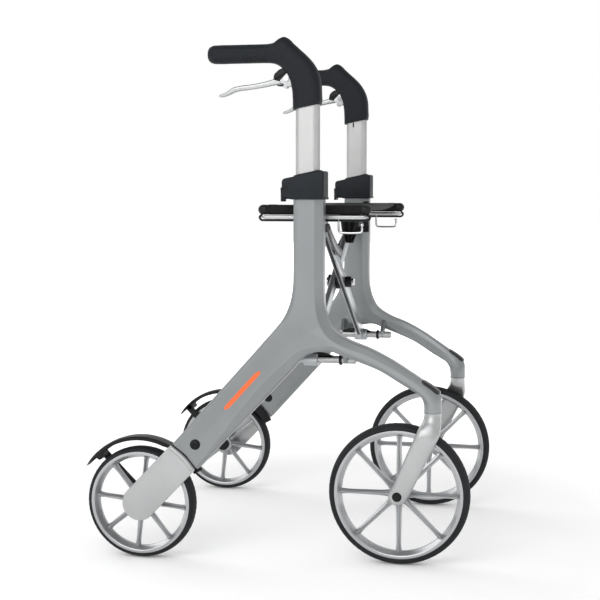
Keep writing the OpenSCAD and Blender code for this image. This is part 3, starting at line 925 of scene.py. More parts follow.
@dataclass
class SideFrame(SidePart):
    """The cast column with its two legs, the cap on the front leg and the accent stripe."""

    joint: tuple = (62.0, 412.0)
    stripe_rows: tuple = (38, 72)
    stripe_share: float = 0.12

    def column(self) -> Limb:
        """The upright, from its top down to the joint of the three limbs."""
        rear, front = (7.0, 2.2), (14.0, 11.0)
        at = [(61, 655, 35, 655, 87, 655), (61, 610, 35, 610, 87, 610),
              (61, 560, 35, 560, 87, 560), (61, 515, 34.9, 515, 87, 515),
              (61, 485, 33.6, 485, 87, 484), (61.3, 458, 28.8, 460, 88.4, 456),
              (61.8, 434, 21.6, 442, 92, 438), (*self.joint, 13, 427.5, 97.8, 424.7)]
        return Limb([(*row, 17.5, 0, *rear, *front) for row in at][::-1], 70)

    def rear_leg(self) -> Limb:
        """The rear leg, from the joint to its hollow round end over the wheel."""
        top = (7.0, 2.2)
        at = [(*self.joint, 13, 427.5, 80, 375.5, 17.5, 10, 3),
              (47, 402, 2, 414, 66, 372.4, 17.3, 12, 4),
              (31, 389, -13, 397, 50, 362.4, 16.8, 15, 5.5),
              (8, 366.5, -33, 374, 30, 340, 16, 19, 7),
              (-25, 331.5, -62, 341, -3, 304.5, 15.3, 21, 8),
              (-63, 289.3, -98, 300, -40, 264.5, 15, 18, 7),
              (-100, 248, -135, 257.7, -78, 223.5, 15, 12, 5),
              (-130, 214.5, -160, 229, -108, 191, 15, 7, 3),
              (-152.5, 190.6, -177.6, 209.2, -131.9, 165.3, 15, 5, 2)]
        return Limb([(*row[:7], 0, *top, *row[7:]) for row in at], 110)

    def front_leg(self) -> Limb:
        """The front leg, from the joint down into the round caster sleeve."""
        at = [(*self.joint, 97.8, 424.7, 80, 375.5, 17.5, 0, 14, 11, 10, 3),
              (84, 401.5, 103.5, 415.5, 91, 377, 17.2, 0, 14, 10.5, 10, 3.2),
              (106, 391.5, 113.5, 406.6, 101.5, 376.2, 16.5, 0, 14, 9.5, 10, 3.6),
              (126, 382, 131, 396.6, 119.5, 369, 15.5, 0, 13, 8, 9, 4),
              (160, 366.5, 167, 382.5, 152, 356.8, 14.4, 0.05, 12, 6.5, 8, 4),
              (197, 347.5, 205, 362.8, 187, 342, 14, 0.1, 11, 5.5, 8, 4),
              (228, 328, 236, 343, 219, 322.5, 14, 0.15, 10, 5, 8, 4),
              (250, 312.5, 261, 326.4, 241, 309.5, 14.2, 0.3, 9, 4, 7, 3),
              (266, 298, 282, 311.6, 252.3, 302, 14.8, 0.65, 8, 3, 6, 2),
              (273.5, 287, 290.4, 299, 258.5, 292, 15.2, 0.95, 8, 3, 6, 2),
              (276, 280, 291.3, 284, 260.7, 281, 15.3, 1, 8, 3, 6, 2),
              (276, 271, 291.3, 271, 260.7, 271, 15.3, 1, 8, 3, 6, 2)]
        return Limb(at, 110)

    def casting(self) -> None:
        """The whole casting as one closed surface of three limbs."""
        shell = Shell()
        for limb in (self.column(), self.rear_leg(), self.front_leg()):
            limb.add_to(shell)
        self.add(shell, "frame_casting", FRAME_GREY, "side", "frame", crease=20)

    def cap(self) -> None:
        """The glossy cover on the slope above the caster bearing."""
        count = 22
        line = through([(254.5, 327.2), (268, 319.2), (280, 311.2), (288.6, 303.8)], count)
        run = np.linspace(0, 1, count)
        ends = round_ends(run, 6)
        rings = blade(line, 220.2 + 2.4 * (1 - run), 4.3 * ends, 12.4 * ends, 2.4, 36)
        self.add(Shell().tube(rings), "sleeve_cap", GLOSS_BLACK, "side", "front_cap")

    def gasket(self) -> None:
        """The dark seam between the rear leg's end and the wheel plate."""
        reach = 13.6
        outline = band(REAR_AXLE, 125.6, 122.9, LEG_SLOPE - reach, LEG_SLOPE + reach, 15)
        self.add(Shell().plate(outline, 259.5, 284.5, 0.5), "leg_gasket", BLACK_PLASTIC, "side")

    def stripe(self) -> None:
        """A plain accent stripe that lies on the outer face of the rear leg.

        It spans some of the leg's rows, and goes from the spine towards the first edge line by a
        share of the width there; its ends are rounded by the tenth power of the place along it.
        """
        limb, span = self.rear_leg(), slice(*self.stripe_rows)
        part = limb.rows[span]
        t = np.linspace(0, 1, len(part))[:, None]
        width = self.stripe_share * round_ends(t, 10)
        v = np.linspace(-1, 1, 7)[None, :]
        towards = part[:, None, 2:4] - part[:, None, 0:2]
        flat = part[:, None, 0:2] + towards * (self.stripe_share + width * v)[..., None]
        y = (limb.middle()[span, None] + part[:, 6:7]) + 0 * v
        top, base = Plane.SIDE.place(flat, y + 0.28), Plane.SIDE.place(flat, y - 0.6)
        loops = [np.vstack([face[0, :], face[1:, -1], face[-1, -2::-1], face[-2:0:-1, 0]])
                 for face in (top, base)]
        shell = Shell().grid(top).grid(base).grid(np.stack(loops), wrap_v=True)
        self.add(shell, "accent_stripe", ACCENT, "side")

    def make(self) -> None:
        """Make every piece of this side frame."""
        self.casting()
        self.cap()
        self.gasket()
        self.stripe()


# ------------------------------------------------------------------ wheels


@dataclass
class Wheel(SidePart):
    """A moulded wheel with ridged spokes and a treaded tyre.

    Place is "front" or "rear"; x and y give the hub's middle, which lies one radius above the
    floor; tyre_h is the tyre's height over the rim, and turn the first spoke's angle in degrees.
    """

    place: str
    x: float
    y: float
    radius: float
    tyre_h: float
    hub_r: float
    turn: float = 0.0
    spokes: int = 8
    width: float = 30.0

    def tyre(self) -> None:
        """The tyre: a squared round section with a centre groove and slanted shoulder sipes.

        The radius falls by the groove's depth near two fixed distances from the middle, and by
        the sipes' depth where a wave round the tyre, slanted with that distance, is at its top.
        """
        blocks, round_count = 66, 594
        groove_y, groove_depth, sipe_y, sipe_end, sipe_depth = 4.2, 0.9, 5.2, 14.6, 0.75
        seat = self.radius - self.tyre_h
        a = np.linspace(-np.pi / 2, np.pi / 2, 35)
        c, s = np.cos(a) ** (2 / 2.7), np.sign(a) * np.abs(np.sin(a)) ** (2 / 2.3)
        y, r = s * self.width / 2, seat + 2 + (self.tyre_h - 2) * c
        turn = np.linspace(0, 2 * np.pi, round_count, endpoint=False)[:, None]
        off = np.abs(y)
        groove = groove_depth * np.exp(-(((off - groove_y) / 0.8) ** 2))
        wave = np.cos(blocks * turn + 0.32 * off[None, :])
        window = np.clip((off - sipe_y) / 1.5, 0, 1) * np.clip((sipe_end - off) / 1.5, 0, 1)
        sipe = sipe_depth * np.clip((wave - 0.7) / 0.25, 0, 1) * window[None, :]
        reach = np.broadcast_to(r - groove, (round_count, len(y))) - sipe
        bead_r = np.full((round_count, 1), seat)
        reach = np.hstack([bead_r, reach, bead_r])
        y = np.concatenate([[-self.width / 2 + 1.4], y, [self.width / 2 - 1.4]])
        surface = np.stack([self.x + reach * np.cos(turn), self.y + 0 * reach + y,
                            self.radius + reach * np.sin(turn)], -1)
        self.add(Shell().grid(surface, wrap_u=True, wrap_v=True), f"{self.place}_tyre_treaded",
                 TYRE, f"{self.place}_wheel", f"{self.place}_tyre", crease=60)

    def rim(self) -> None:
        """The rim ring, the hub with its bearing recess, and the spokes between them."""
        seat, half = self.radius - self.tyre_h, self.width / 2 - 1.5
        centre = (self.x, self.y, self.radius)
        one = np.array([(0.0, half - 0.6), (0.7, half + 0.7), (-0.6, half + 1.1),
                        (-3.4, half + 0.9), (-4.8, half + 0.1), (-5.4, half - 1.4),
                        (-7.2, half - 4.4), (-9.6, 4.6), (-10.8, 2.2)])
        ring = np.vstack([one, one[::-1] * (1, -1)]) + (seat, 0)
        shell = Shell().turned(ring, centre, 1, 144)
        r, hub_half = self.hub_r, self.width / 2 - 1
        face = np.array([(5.3, hub_half - 3.2), (8.6, hub_half - 3.0), (8.9, hub_half - 0.4),
                         (9.4, hub_half), (r - 2.6, hub_half), (r - 1.2, hub_half - 0.7),
                         (r - 0.4, hub_half - 2.2), (r, hub_half - 6.0)])
        shell.turned(np.vstack([face, face[::-1] * (1, -1)]), centre, 1, 64)
        t = np.linspace(0, 1, 22)
        run = r - 3 + t * (seat - 8.6 - r + 3)
        foot = np.exp(-((1 - t) * 9) ** 2)
        half_w = 5.4 - 1.3 * t + 1.4 * foot + 1.6 * np.exp(-(t * 8) ** 2)
        half_d = 10.2 - 1.6 * np.sin(np.pi * t) ** 2 - 1.6 * t
        for k in range(self.spokes):
            a = math.radians(360.0 / self.spokes * k + self.turn)
            out = np.array([math.cos(a), 0.0, -math.sin(a)])
            side_on = np.array([math.sin(a), 0.0, math.cos(a)])
            path = np.asarray(centre) + run[:, None] * out
            shell.tube(sweep(path, side_on, Y_AXIS, half_w, half_d, 1.3, 24))
        self.add(shell, f"{self.place}_rim_spoked", RIM_SILVER, f"{self.place}_wheel",
                 f"{self.place}_rim", crease=28)

    def seals(self) -> None:
        """The black bearing seals in both ends of the hub."""
        shell = Shell()
        for sign in (-1, 1):
            depth = sign * (self.width / 2 - 3.6)
            lip = [(5.25, depth), (8.5, depth), (8.5, depth + sign * 0.9),
                   (7.2, depth + sign * 1.4), (5.25, depth + sign * 1.1)]
            shell.turned(lip, (self.x, self.y, self.radius), 1, 48)
        self.add(shell, f"{self.place}_bearing_seals", BLACK_PLASTIC, f"{self.place}_wheel")

    def make(self) -> None:
        """Make every piece of this wheel."""
        self.tyre()
        self.rim()
        self.seals()


# ------------------------------------------------------------------ front caster


@dataclass
class Caster(SidePart):
    """The swivelling single-sided fork of a front wheel and its small fittings."""

    swivel: tuple = (276.0, 219.0)
    arm_y: float = 243.0
    end_r: float = 16.5

    def fork(self) -> None:
        """The fork: a round neck that turns outwards into a flat-sided arm with a round end.

        Each station is centre x and z, half width in side view, distance from the middle of the
        walker, half thickness and squareness.
        """
        at = [(276, 270.4, 14.6, 219, 14.6, 2.0), (276, 264, 15.0, 219.3, 15.0, 2.0),
              (275.6, 257, 15.6, 221.5, 15.6, 2.1), (274.4, 249, 17.2, 227, 15.2, 2.3),
              (272.0, 240, 19.0, 234, 12.6, 2.5), (268.2, 230, 19.4, 239.6, 9.4, 2.7),
              (263.2, 219, 19.0, 242.4, 7.0, 2.8), (255.5, 203, 18.4, 243, 6.0, 2.8),
              (246.0, 182, 17.8, 243, 5.7, 2.8), (236.0, 160, 17.2, 243, 5.6, 2.8),
              (227.0, 141, 16.8, 243, 5.6, 2.8), (218.4, 126, 16.5, 243, 5.6, 2.8)]
        rows = through(at, 84)
        t = np.linspace(0, 1, 14)[1:]
        tail = np.repeat(rows[-1:], len(t), 0)
        down = (rows[-1, :2] - rows[-4, :2]) / np.linalg.norm(rows[-1, :2] - rows[-4, :2])
        tail[:, :2] += self.end_r * np.sin(t * np.pi / 2)[:, None] * down
        tail[:, 2] = np.maximum(self.end_r * np.cos(t * np.pi / 2), 0.05)
        tail[:, 4] *= 1 - 0.22 * t**6
        rows = np.vstack([rows, tail])
        rings = blade(rows[:, :2], rows[:, 3], rows[:, 2], rows[:, 4], rows[:, 5], 48)
        self.add(Shell().tube(rings), "fork_casting", CAST_SILVER, "caster", "caster_fork",
                 crease=40)

    def cap(self) -> None:
        """The domed black cap in the fork's boss, in a shallow ring."""
        face = self.arm_y + 5.6
        dome = [(0.01, face - 2), (8.4, face - 2), (8.4, face + 0.3), (7.7, face + 0.9),
                (7.3, face + 0.7), (6.6, face + 1.7), (4.5, face + 2.2), (0.01, face + 2.4)]
        self.add(Shell().turned(dome, (FRONT_AXLE[0], 0, FRONT_AXLE[1]), 1, 48), "axle_cap",
                 BLACK_PLASTIC, "caster", "fork_cap")

    def seal(self) -> None:
        """The thin dark seal between the sleeve and the fork's neck."""
        ring = [(8, 270.3), (15.0, 270.3), (15.6, 270.6), (15.6, 271.0), (15.0, 271.3), (8, 271.3)]
        self.add(Shell().turned(ring, (*self.swivel, 0), 2, 64), "sleeve_seal", BLACK_PLASTIC,
                 "side")

    def make(self) -> None:
        """Make every piece of this caster."""
        self.fork()
        self.cap()
        self.seal()


# ------------------------------------------------------------------ height post and handle


@dataclass
class Collar(SidePart):
    """The clamp collar on the column's top end, its lever and its screw."""

    inner: float = 218.8
    outer: float = 261.2
    pivot: tuple = (24.0, 660.0)

    def shell(self) -> None:
        """The collar: a tapered shell with a proud foot, and a lip round the tube's opening."""
        outline = round_corners([(15.6, 641), (90, 641), (90, 689.4), (82, 689.4), (15.6, 675.6)],
                                [1.5, 2, 5.5, 14, 6], 8)
        shell = Shell().plate(outline, self.inner, self.outer, 2.6, steps=6)
        foot = round_corners([(31, 640.2), (90.7, 640.2), (90.7, 644.6), (31, 644.6)], 1.2, 3)
        shell.plate(foot, self.inner - 0.7, self.outer + 0.7, 1.4)
        ring = round_corners([(-22.5, -17.5), (22.5, -17.5), (22.5, 17.5), (-22.5, 17.5)], 8, 8)
        mouth_x, mouth_z, rise = 58.0, 683.6, 13.8 / 66.4
        lip = []
        for grow, up in ((0.6, -3), (0.6, 0.6), (-0.3, 1.5), (-1.4, 1.5), (-2.0, 0.6), (-2.0, -3)):
            flat = inset(ring, -grow)
            lip.append(np.stack([mouth_x + flat[:, 0], COLUMN_Y + flat[:, 1],
                                 mouth_z + up + flat[:, 0] * rise + 1.3], -1))
        shell.grid(np.stack(lip), wrap_u=True, wrap_v=True)
        self.add(shell, "collar_shell", DARK_PLASTIC, "side", "clamp_collar")

    def screw(self) -> None:
        """The pivot screw's two socket heads in the collar's cheeks."""
        shell = Shell()
        for face, sign in ((self.outer, 1), (self.inner, -1)):
            head = [(0.01, -3), (4.4, -3), (4.4, -0.1), (3.9, 0.45), (2.4, 0.45), (2.2, -0.9),
                    (0.01, -1.1)]
            rows = [(r, face + sign * d) for r, d in head]
            shell.turned(rows, (self.pivot[0], 0, self.pivot[1]), 1, 36)
        self.add(shell, "collar_screw", BLACK_PLASTIC, "side")

    def lever(self) -> None:
        """The quick-release lever, with a hooked tip below the collar's rear edge."""
        outline = np.vstack([arc(self.pivot, 7.4, 100, -72, 14),
                             round_corners([(17.6, 650), (16.2, 636.6), (12.2, 636.6),
                                            (12.2, 663)], [2, 1.5, 1.5, 4], 5)])
        self.add(Shell().plate(outline, 226.8, 253.2, 1.3), "quick_lever", DARK_PLASTIC, "clamp",
                 "clamp_lever")

    def make(self) -> None:
        """Make every piece of this collar."""
        self.shell()
        self.screw()
        self.lever()


@dataclass
class Handle(SidePart):
    """The handle on the height tube: grip, brake lever and the lever's bracket."""

    grip_r: float = 16.25

    def body(self) -> None:
        """The moulded handle, from its slanted mouth over the thumb ridge to the grip's end.

        Each station is front x and z, rear x and z, half thickness and squareness; a ring spans
        from the front line to the rear line as a superellipse.
        """
        at = [(80.8, 803.6, 33.0, 794.2, 17.8, 3.8), (81.6, 806, 32.8, 796.4, 18.2, 3.6),
              (81.9, 824, 32.4, 812, 18.1, 3.5), (80.8, 842, 31.0, 829, 18.0, 3.3),
              (76.6, 858, 27.6, 844, 18.0, 3.1), (68.4, 873, 21.0, 857, 18.0, 2.9),
              (56.8, 886.3, 11.8, 867, 17.8, 2.8), (44.4, 897.6, 2.4, 872.8, 17.6, 2.7),
              (33.4, 907.6, -5.4, 875.0, 17.4, 2.6), (24.8, 916.0, -11.5, 875.6, 17.2, 2.5),
              (16.4, 919.8, -16.5, 875.7, 17.0, 2.4), (8.8, 917.2, -21.5, 875.8, 16.8, 2.4),
              (1.6, 911.8, -26.5, 875.8, 16.6, 2.3), (-8.0, 908.9, -33.5, 875.8, 16.4, 2.25),
              (-24, 908.2, -43, 875.8, 16.3, 2.2), (-46, 908.2, -56, 875.8, 16.3, 2.2),
              (-76, 908.2, -79, 875.8, 16.3, 2.2), (-101, 908.2, -101, 875.8, 16.3, 2.2),
              (-111, 907.4, -111, 876.6, 15.6, 2.2), (-116.6, 904.7, -116.6, 879.3, 12.8, 2.2),
              (-119.2, 901.0, -119.2, 883.0, 9.0, 2.2), (-119.9, 896.6, -119.9, 887.4, 4.6, 2.2)]
        rows = through(at, 170)
        middle = (rows[:, 0:2] + rows[:, 2:4]) / 2
        reach = np.linalg.norm(rows[:, 0:2] - rows[:, 2:4], axis=1)
        across = (rows[:, 0:2] - rows[:, 2:4]) / reach[:, None]
        across = np.stack([across[:, 0], 0 * reach, across[:, 1]], -1)
        rings = sweep(Plane.SIDE.place(middle, COLUMN_Y), across, Y_AXIS, reach / 2, rows[:, 4],
                      rows[:, 5], 64)
        self.add(Shell().tube(rings), "handle_moulding", GRIP, "handle_post", "handle", crease=45)

    def inlay(self) -> None:
        """The soft inlay let into both cheeks of the grip."""
        outline = round_corners([(-108, 884.5), (-30, 884.5), (-24, 899.5), (-108, 899.5)], 6, 8)
        shell = Shell()
        for sign in (-1, 1):
            face = COLUMN_Y + sign * (self.grip_r + 0.28)
            base = COLUMN_Y + sign * (self.grip_r - 3.4)
            shell.plate(outline, min(face, base), max(face, base), 1.1)
        self.add(shell, "grip_inlay", GRIP, "handle_post")

    def bracket(self) -> None:
        """The black half-round guard over the lever's root, joined to the handle."""
        outline = round_corners([(33, 868), (9, 865.5), (0.5, 858), (-1.5, 845.5), (6, 843.5),
                                 (33, 836)], [3, 8, 7, 1.5, 2, 3], 7)
        self.add(Shell().plate(outline, COLUMN_Y - 6.2, COLUMN_Y + 6.2, 2.6, steps=5),
                 "lever_guard", BLACK_PLASTIC, "handle_post")

    def adjuster(self) -> None:
        """The silver cheeks that hold the pivot, with the cable's barrel below them."""
        shell = Shell()
        cheek = round_corners([(25, 860), (33.5, 857), (33.5, 836), (25, 833.5), (9, 843.5)],
                              [3, 2, 2, 4, 3], 5)
        for sign in (-1, 1):
            face, base = COLUMN_Y + sign * 9.4, COLUMN_Y + sign * 6.9
            shell.plate(cheek, min(face, base), max(face, base), 0.7)
        barrel = [(0.01, -7.5), (2.6, -7.5), (3.9, -6.6), (3.9, -2.2), (3.0, -1.6), (3.0, 1.2),
                  (4.1, 1.8), (4.1, 6.8), (3.4, 7.5), (0.01, 7.5)]
        shell.turned(barrel, (20.0, COLUMN_Y, 835.5), 1, 28)
        self.add(shell, "lever_cheeks", CAST_SILVER, "handle_post")

    def lever(self) -> None:
        """The brake lever: a flat-sided blade with an S-bend and a rolled, thinner tip."""
        at = [(27.5, 850.5, 2.0, 2.2, 2.4), (25.5, 849.8, 5.0, 4.6, 2.4),
              (20, 848.4, 6.2, 5.6, 2.6), (10, 845.6, 5.6, 5.6, 2.8),
              (-4, 842.0, 4.6, 5.4, 3.0), (-24, 837.8, 4.0, 5.3, 3.0),
              (-46, 834.6, 3.9, 5.5, 3.0), (-64, 832.6, 4.0, 6.0, 3.0),
              (-74, 830.2, 4.0, 6.2, 2.8), (-84, 825.2, 3.5, 5.8, 2.6),
              (-93, 821.6, 2.7, 5.0, 2.5), (-99, 820.4, 2.0, 4.0, 2.4),
              (-101, 820.2, 0.9, 2.4, 2.2)]
        rows = through(at, 90)
        rings = blade(rows[:, :2], COLUMN_Y, 1.2 * np.maximum(rows[:, 2], 0.6),
                      np.maximum(rows[:, 3], 1.2), rows[:, 4], 32)
        self.add(Shell().tube(rings), "lever_blade", CAST_SILVER, "brake", "brake_lever",
                 crease=40)

    def make(self) -> None:
        """Make every piece of this handle."""
        self.body()
        self.inlay()
        self.bracket()
        self.adjuster()
        self.lever()


# ------------------------------------------------------------------ rear wheel carrier


@dataclass
class RearCarrier(SidePart):
    """What holds a rear wheel: the plate, the guard, the caps and the bolts of the leg."""

    plate_y: tuple = (289.0, 293.0)
    guard_r: float = 116.0
    wheel_y: float = 272.5
    arm_y: float = 249.5

    def plate(self) -> None:
        """The wheel plate: a round-ended band, and a bead and a neck at its curved upper end."""
        s = LEG_SLOPE
        outline = np.vstack([arc(REAR_AXLE, 31, s + 90, s + 270, 41),
                             arc(REAR_AXLE, 122.8, s - 14.57, s + 14.57, 19)])
        shell = Shell().plate(outline, *self.plate_y, 1.3, steps=5)
        count = 40
        t = np.linspace(0, 1, count)
        ends = round_ends(t, 14)
        shell.tube(blade(arc(REAR_AXLE, 118.6, s - 14.2, s + 14.2, count), 292.6, 3.6 * ends,
                         2.3 * ends, 2.2, 28))
        neck = band(REAR_AXLE, 110.5, 122.4, s - 13.6, s + 13.6, 17)
        shell.plate(neck, 261.5, 290.5, 2.4)
        self.add(shell, "plate_casting", CAST_SILVER, "side", "wheel_plate")

    def guard_band(self) -> np.ndarray:
        """The mudguard's crowned band, with turned-down lips, that draws out to a point.

        The section is carried round the axle; towards the tip its depth shrinks against its
        outer surface, and at the start it grows with the square root of the way.

        Returns:
            Rings (along, around, 3).
        """
        section = np.array([(-14.4, -3.4), (-14.5, 1.4), (-12.6, 3.3), (-6, 3.9), (0, 4.0),
                            (6, 3.9), (12.6, 3.3), (14.5, 1.4), (14.4, -3.4), (13.0, -3.4),
                            (12.4, 0.4), (6, 1.3), (0, 1.5), (-6, 1.3), (-12.4, 0.4),
                            (-13.0, -3.4)])
        angle = np.linspace(60, 150.0, 76)
        t = np.clip((angle - 133) / 17, 0, 1)[:, None]
        slim = 1 - 0.93 * t**1.3
        start = np.clip((angle[:, None] - 60) / 7, 0, 1) ** 0.5
        depth = (4.0 - (4.0 - section[None, :, 1]) * slim * (0.35 + 0.65 * start))
        radius = self.guard_r + depth
        a = np.radians(angle)[:, None]
        y = self.wheel_y + section[None, :, 0] * (1 - 0.5 * t**2)
        return np.stack([REAR_AXLE[0] + radius * np.cos(a), y,
                         REAR_AXLE[1] + radius * np.sin(a)], -1)

    def guard(self) -> None:
        """The mudguard: its band, a rib, a tapered arm round the axle and the brake housing."""
        shell = Shell().tube(self.guard_band())
        rib = np.vstack([arc(REAR_AXLE, 105.5, 131.5, 136.0, 5),
                         arc(REAR_AXLE, 118.0, 137.5, 130.0, 7)])
        shell.plate(rib, self.arm_y, self.wheel_y + 14, 1.2)
        lean = math.radians(134.5)
        out = np.array([math.cos(lean), math.sin(lean)])
        side_on = np.array([-math.sin(lean), math.cos(lean)])
        run = np.array([[8.0, 8.0], [60.0, 7.0], [116.5, 7.2]])
        arm = np.vstack([run[:, :1] * out + run[:, 1:] * side_on,
                         (run[:, :1] * out - run[:, 1:] * side_on)[::-1]]) + REAR_AXLE
        shell.plate(round_corners(arm, 2.0, 4), self.arm_y, self.arm_y + 4, 1.1)
        shell.turned([(5.2, 0), (11.0, 0), (12.0, 1.0), (12.0, 3.4), (11.0, 4.2), (5.2, 4.2)],
                     (REAR_AXLE[0], self.arm_y, REAR_AXLE[1]), 1, 48)
        housing = band(REAR_AXLE, 105, 122, LEG_SLOPE - 18, 60.5, 16)
        shell.plate(housing, self.arm_y + 1, self.wheel_y - 12.9, 2.2)
        self.add(shell, "mudguard", BLACK_PLASTIC, "side", "wheel_guard")

    def hub_cap(self) -> None:
        """The domed nut cover on the inner end of the axle."""
        rows = [(0.01, 0), (12, 0), (12, -2.6), (11.2, -4.2), (9.6, -5.2), (6, -5.9), (3, -6),
                (0.01, -6)]
        shell = Shell().turned(rows, (REAR_AXLE[0], self.arm_y, REAR_AXLE[1]), 1, 48)
        self.add(shell, "axle_nut_cover", BLACK_PLASTIC, "side", "rear_hub_cap")

    def bolts(self) -> None:
        """The leg bolt's two button heads, each with a washer edge and a socket."""
        shell = Shell()
        tilt, slope = math.radians(6.0), math.radians(LEG_SLOPE)
        axis = np.array([math.sin(tilt) * math.cos(slope), math.cos(tilt),
                         math.sin(tilt) * math.sin(slope)])
        middle = np.array([-137.0, 269.4, 208.0])
        first = np.cross(axis, Z_AXIS)
        first /= np.linalg.norm(first)
        second = np.cross(axis, first)
        rows = np.array([(0.01, -4), (9.2, -4), (9.2, 0.7), (8.6, 1.2), (7.6, 1.2), (7.4, 0.9),
                         (6.9, 2.2), (5.2, 3.0), (3.4, 3.2), (3.1, 3.0), (3.0, 1.0), (0.01, 0.8)])
        a = np.linspace(0, 2 * np.pi, 48, endpoint=False)[:, None, None]
        for sign in (-1, 1):
            centre = middle + sign * 15.0 * axis
            around = first * np.cos(a) + second * np.sin(a)
            grid = centre + rows[None, :, :1] * around + sign * rows[None, :, 1:] * axis
            shell.grid(grid, wrap_u=True, wrap_v=True)
        self.add(shell, "leg_bolt_heads", BLACK_PLASTIC, "side", "leg_bolt")

    def make(self) -> None:
        """Make every piece of this carrier."""
        self.plate()
        self.guard()
        self.hub_cap()
        self.bolts()


# ------------------------------------------------------------------ fold linkage


@dataclass
class FoldLinkage:
    """The two crossed braces, their hub, the pivot tubes on the sides and the guide links.

    Pivot is a brace's foot and link_pin the guide link's pin on the column, each as y and z;
    link_reach is how far down a brace the guide link's other pin sits from the brace's top.
    """

    pivot: tuple = (205.0, 357.0)
    top_z: float = 605.0
    cross_z: float = 481.0
    link_pin: tuple = (214.0, 590.0)
    link_reach: float = 122.0

    def slope(self) -> float:
        """The braces' angle above the horizontal, in radians."""
        return math.atan2(self.top_z - self.pivot[1], 2 * self.pivot[0])

    def bar_axes(self) -> tuple[np.ndarray, np.ndarray, np.ndarray]:
        """The lines of a rising brace in front view.

        Returns:
            Its foot, the unit vector along it and the one square to it, each (2,).
        """
        a = self.slope()
        return (np.array([-self.pivot[0], self.pivot[1]]), np.array([math.cos(a), math.sin(a)]),
                np.array([-math.sin(a), math.cos(a)]))

    def far_pin(self) -> np.ndarray:
        """The guide link's pin on a brace, as y and z: link_reach back from the brace's top."""
        a = self.slope()
        return np.array([self.pivot[0] - self.link_reach * math.cos(a),
                         self.top_z - self.link_reach * math.sin(a)])

    def brace(self, name: str, side: Side, x: float, barrel_x: float) -> None:
        """One brace: a rolled-edge bar and a barrel on its lower end; the black lines of painted
        shade along its edges are a separate piece.

        Args:
            name: The CAD body and node it stands for.
            side: LEFT for the brace that starts on the right and rises to the left.
            x: Middle of the bar.
            barrel_x: Rear end of the barrel.
        """
        foot, run, up = self.bar_axes()
        low, high, half_w = 2.0, 479.2, 11.8
        corners = [foot + low * run - half_w * up, foot + (high - 24) * run - half_w * up,
                   (213.0, 588.0), (213.0, 604.9), (178.0, 604.9), foot + low * run + half_w * up]
        outline = round_corners(corners, [2, 6, 6, 3, 8, 2], 5)
        shell = Shell().plate(outline, x - 5, x + 5, 1.6, Plane.FRONT)
        ring = [(7.1, barrel_x), (10.6, barrel_x), (11.9, barrel_x + 1.2),
                (11.9, barrel_x + 24.8), (10.6, barrel_x + 26), (7.1, barrel_x + 26)]
        shell.turned(ring, (0, *foot), 0, 56)
        ends = (49.6, x) if side is Side.LEFT else (x, 85.4)
        pin = [(0.01, ends[0]), (4.6, ends[0]), (5.4, ends[0] + 0.8), (5.4, ends[1] - 0.8),
               (4.6, ends[1]), (0.01, ends[1])]
        shell.turned(pin, (0, *self.far_pin()), 0, 32)
        fit(shell.build(f"{name}_bar", BRACE_SILVER, side), name, name)

    def edging(self, name: str, side: Side, x: float) -> None:
        """Black strips along the upper and lower edges of a brace: painted shade for the bar's
        shaded sides.

        Args:
            name: The brace's CAD body.
            side: LEFT for the brace that rises to the left.
            x: Middle of the bar.
        """
        foot, run, up = self.bar_axes()
        shell = Shell()
        # painted shade: a thin black strip along each edge stands in for the shade on the bar's
        # sides
        for sign in (-1, 1):
            line = np.array([foot + t * run + sign * 11.7 * up for t in (24.0, 436.0)])
            shell.tube(sweep(Plane.FRONT.place(line, x), np.array([0.0, *up]), X_AXIS, 0.55, 2.6,
                             4.0, 24))
        fit(shell.build(f"{name}_edging", BLACK_PLASTIC, side), name)

    def hub(self) -> None:
        """The cross bolt with its heads, and the black spacers between the braces."""
        bolt = [(0.01, 43), (7.6, 43), (8.9, 44.2), (8.9, 46.9), (6, 46.9), (6, 92.1),
                (6.2, 92.1), (7, 92.8), (7, 96), (6, 97), (3.4, 97), (3.2, 94.6), (0.01, 94.6)]
        shell = Shell().turned(bolt, (0, 0, self.cross_z), 0, 48)
        fit(shell.build("hub_bolt", STEEL), "brace_a", "cross_bolt")
        spacer = Shell()
        for x0, x1, r in ((47, 51.8, 14), (62.2, 69.8, 14), (80.2, 92, 10.5)):
            ring = [(6.1, x0), (r - 0.9, x0), (r, x0 + 0.9), (r, x1 - 0.9), (r - 0.9, x1),
                    (6.1, x1)]
            spacer.turned(ring, (0, 0, self.cross_z), 0, 56)
        fit(spacer.build("hub_spacers", BLACK_PLASTIC), "brace_a", "cross_hub")

    def pivot_tube(self, side: Side) -> None:
        """A pivot tube with plugged ends and lugs to the column, its black clip ring, and a black
        pad of painted shade under the frame's arch.

        Args:
            side: The side it stands on.
        """
        tube = [(0.01, 27.5), (4.6, 27.5), (5.4, 28.2), (5.4, 29.0), (6.4, 29.0), (7, 29.6),
                (7, 136.4), (6.4, 137), (5.4, 137), (5.4, 137.8), (4.6, 138.5), (0.01, 138.5)]
        part = SidePart(side)
        part.add(Shell().turned(tube, (0, *self.pivot), 0, 40), "pivot_bar", CAST_SILVER, "side",
                 "pivot_tube")
        lug = round_corners([(198, 352), (210, 350), (222.6, 367), (222.6, 387), (212, 380),
                             (198, 364)], [5, 5, 2, 2, 5, 5], 6)
        lugs = Shell()
        for x in (30, 116):
            lugs.plate(lug, x, x + 8, 1.2, Plane.FRONT)
        part.add(lugs, "pivot_lugs", FRAME_GREY, "side")
        ring = Shell().turned([(6.9, 108), (8.8, 108), (9.5, 108.6), (9.5, 112.4), (8.8, 113),
                               (6.9, 113)], (0, *self.pivot), 0, 40)
        # painted shade: a black crescent pad fills the gap between the tube and the arch's
        # underside, where the arch casts its shade
        arch_shade_pad = round_corners([(32, 362.2), (98, 362.2), (84, 368.6), (64, 371), (46, 368.6)],
                            [1, 1, 8, 8, 8], 6)
        ring.plate(arch_shade_pad, 199.5, 210.5, 1.6)
        part.add(ring, "pivot_clip", BLACK_PLASTIC, "side")

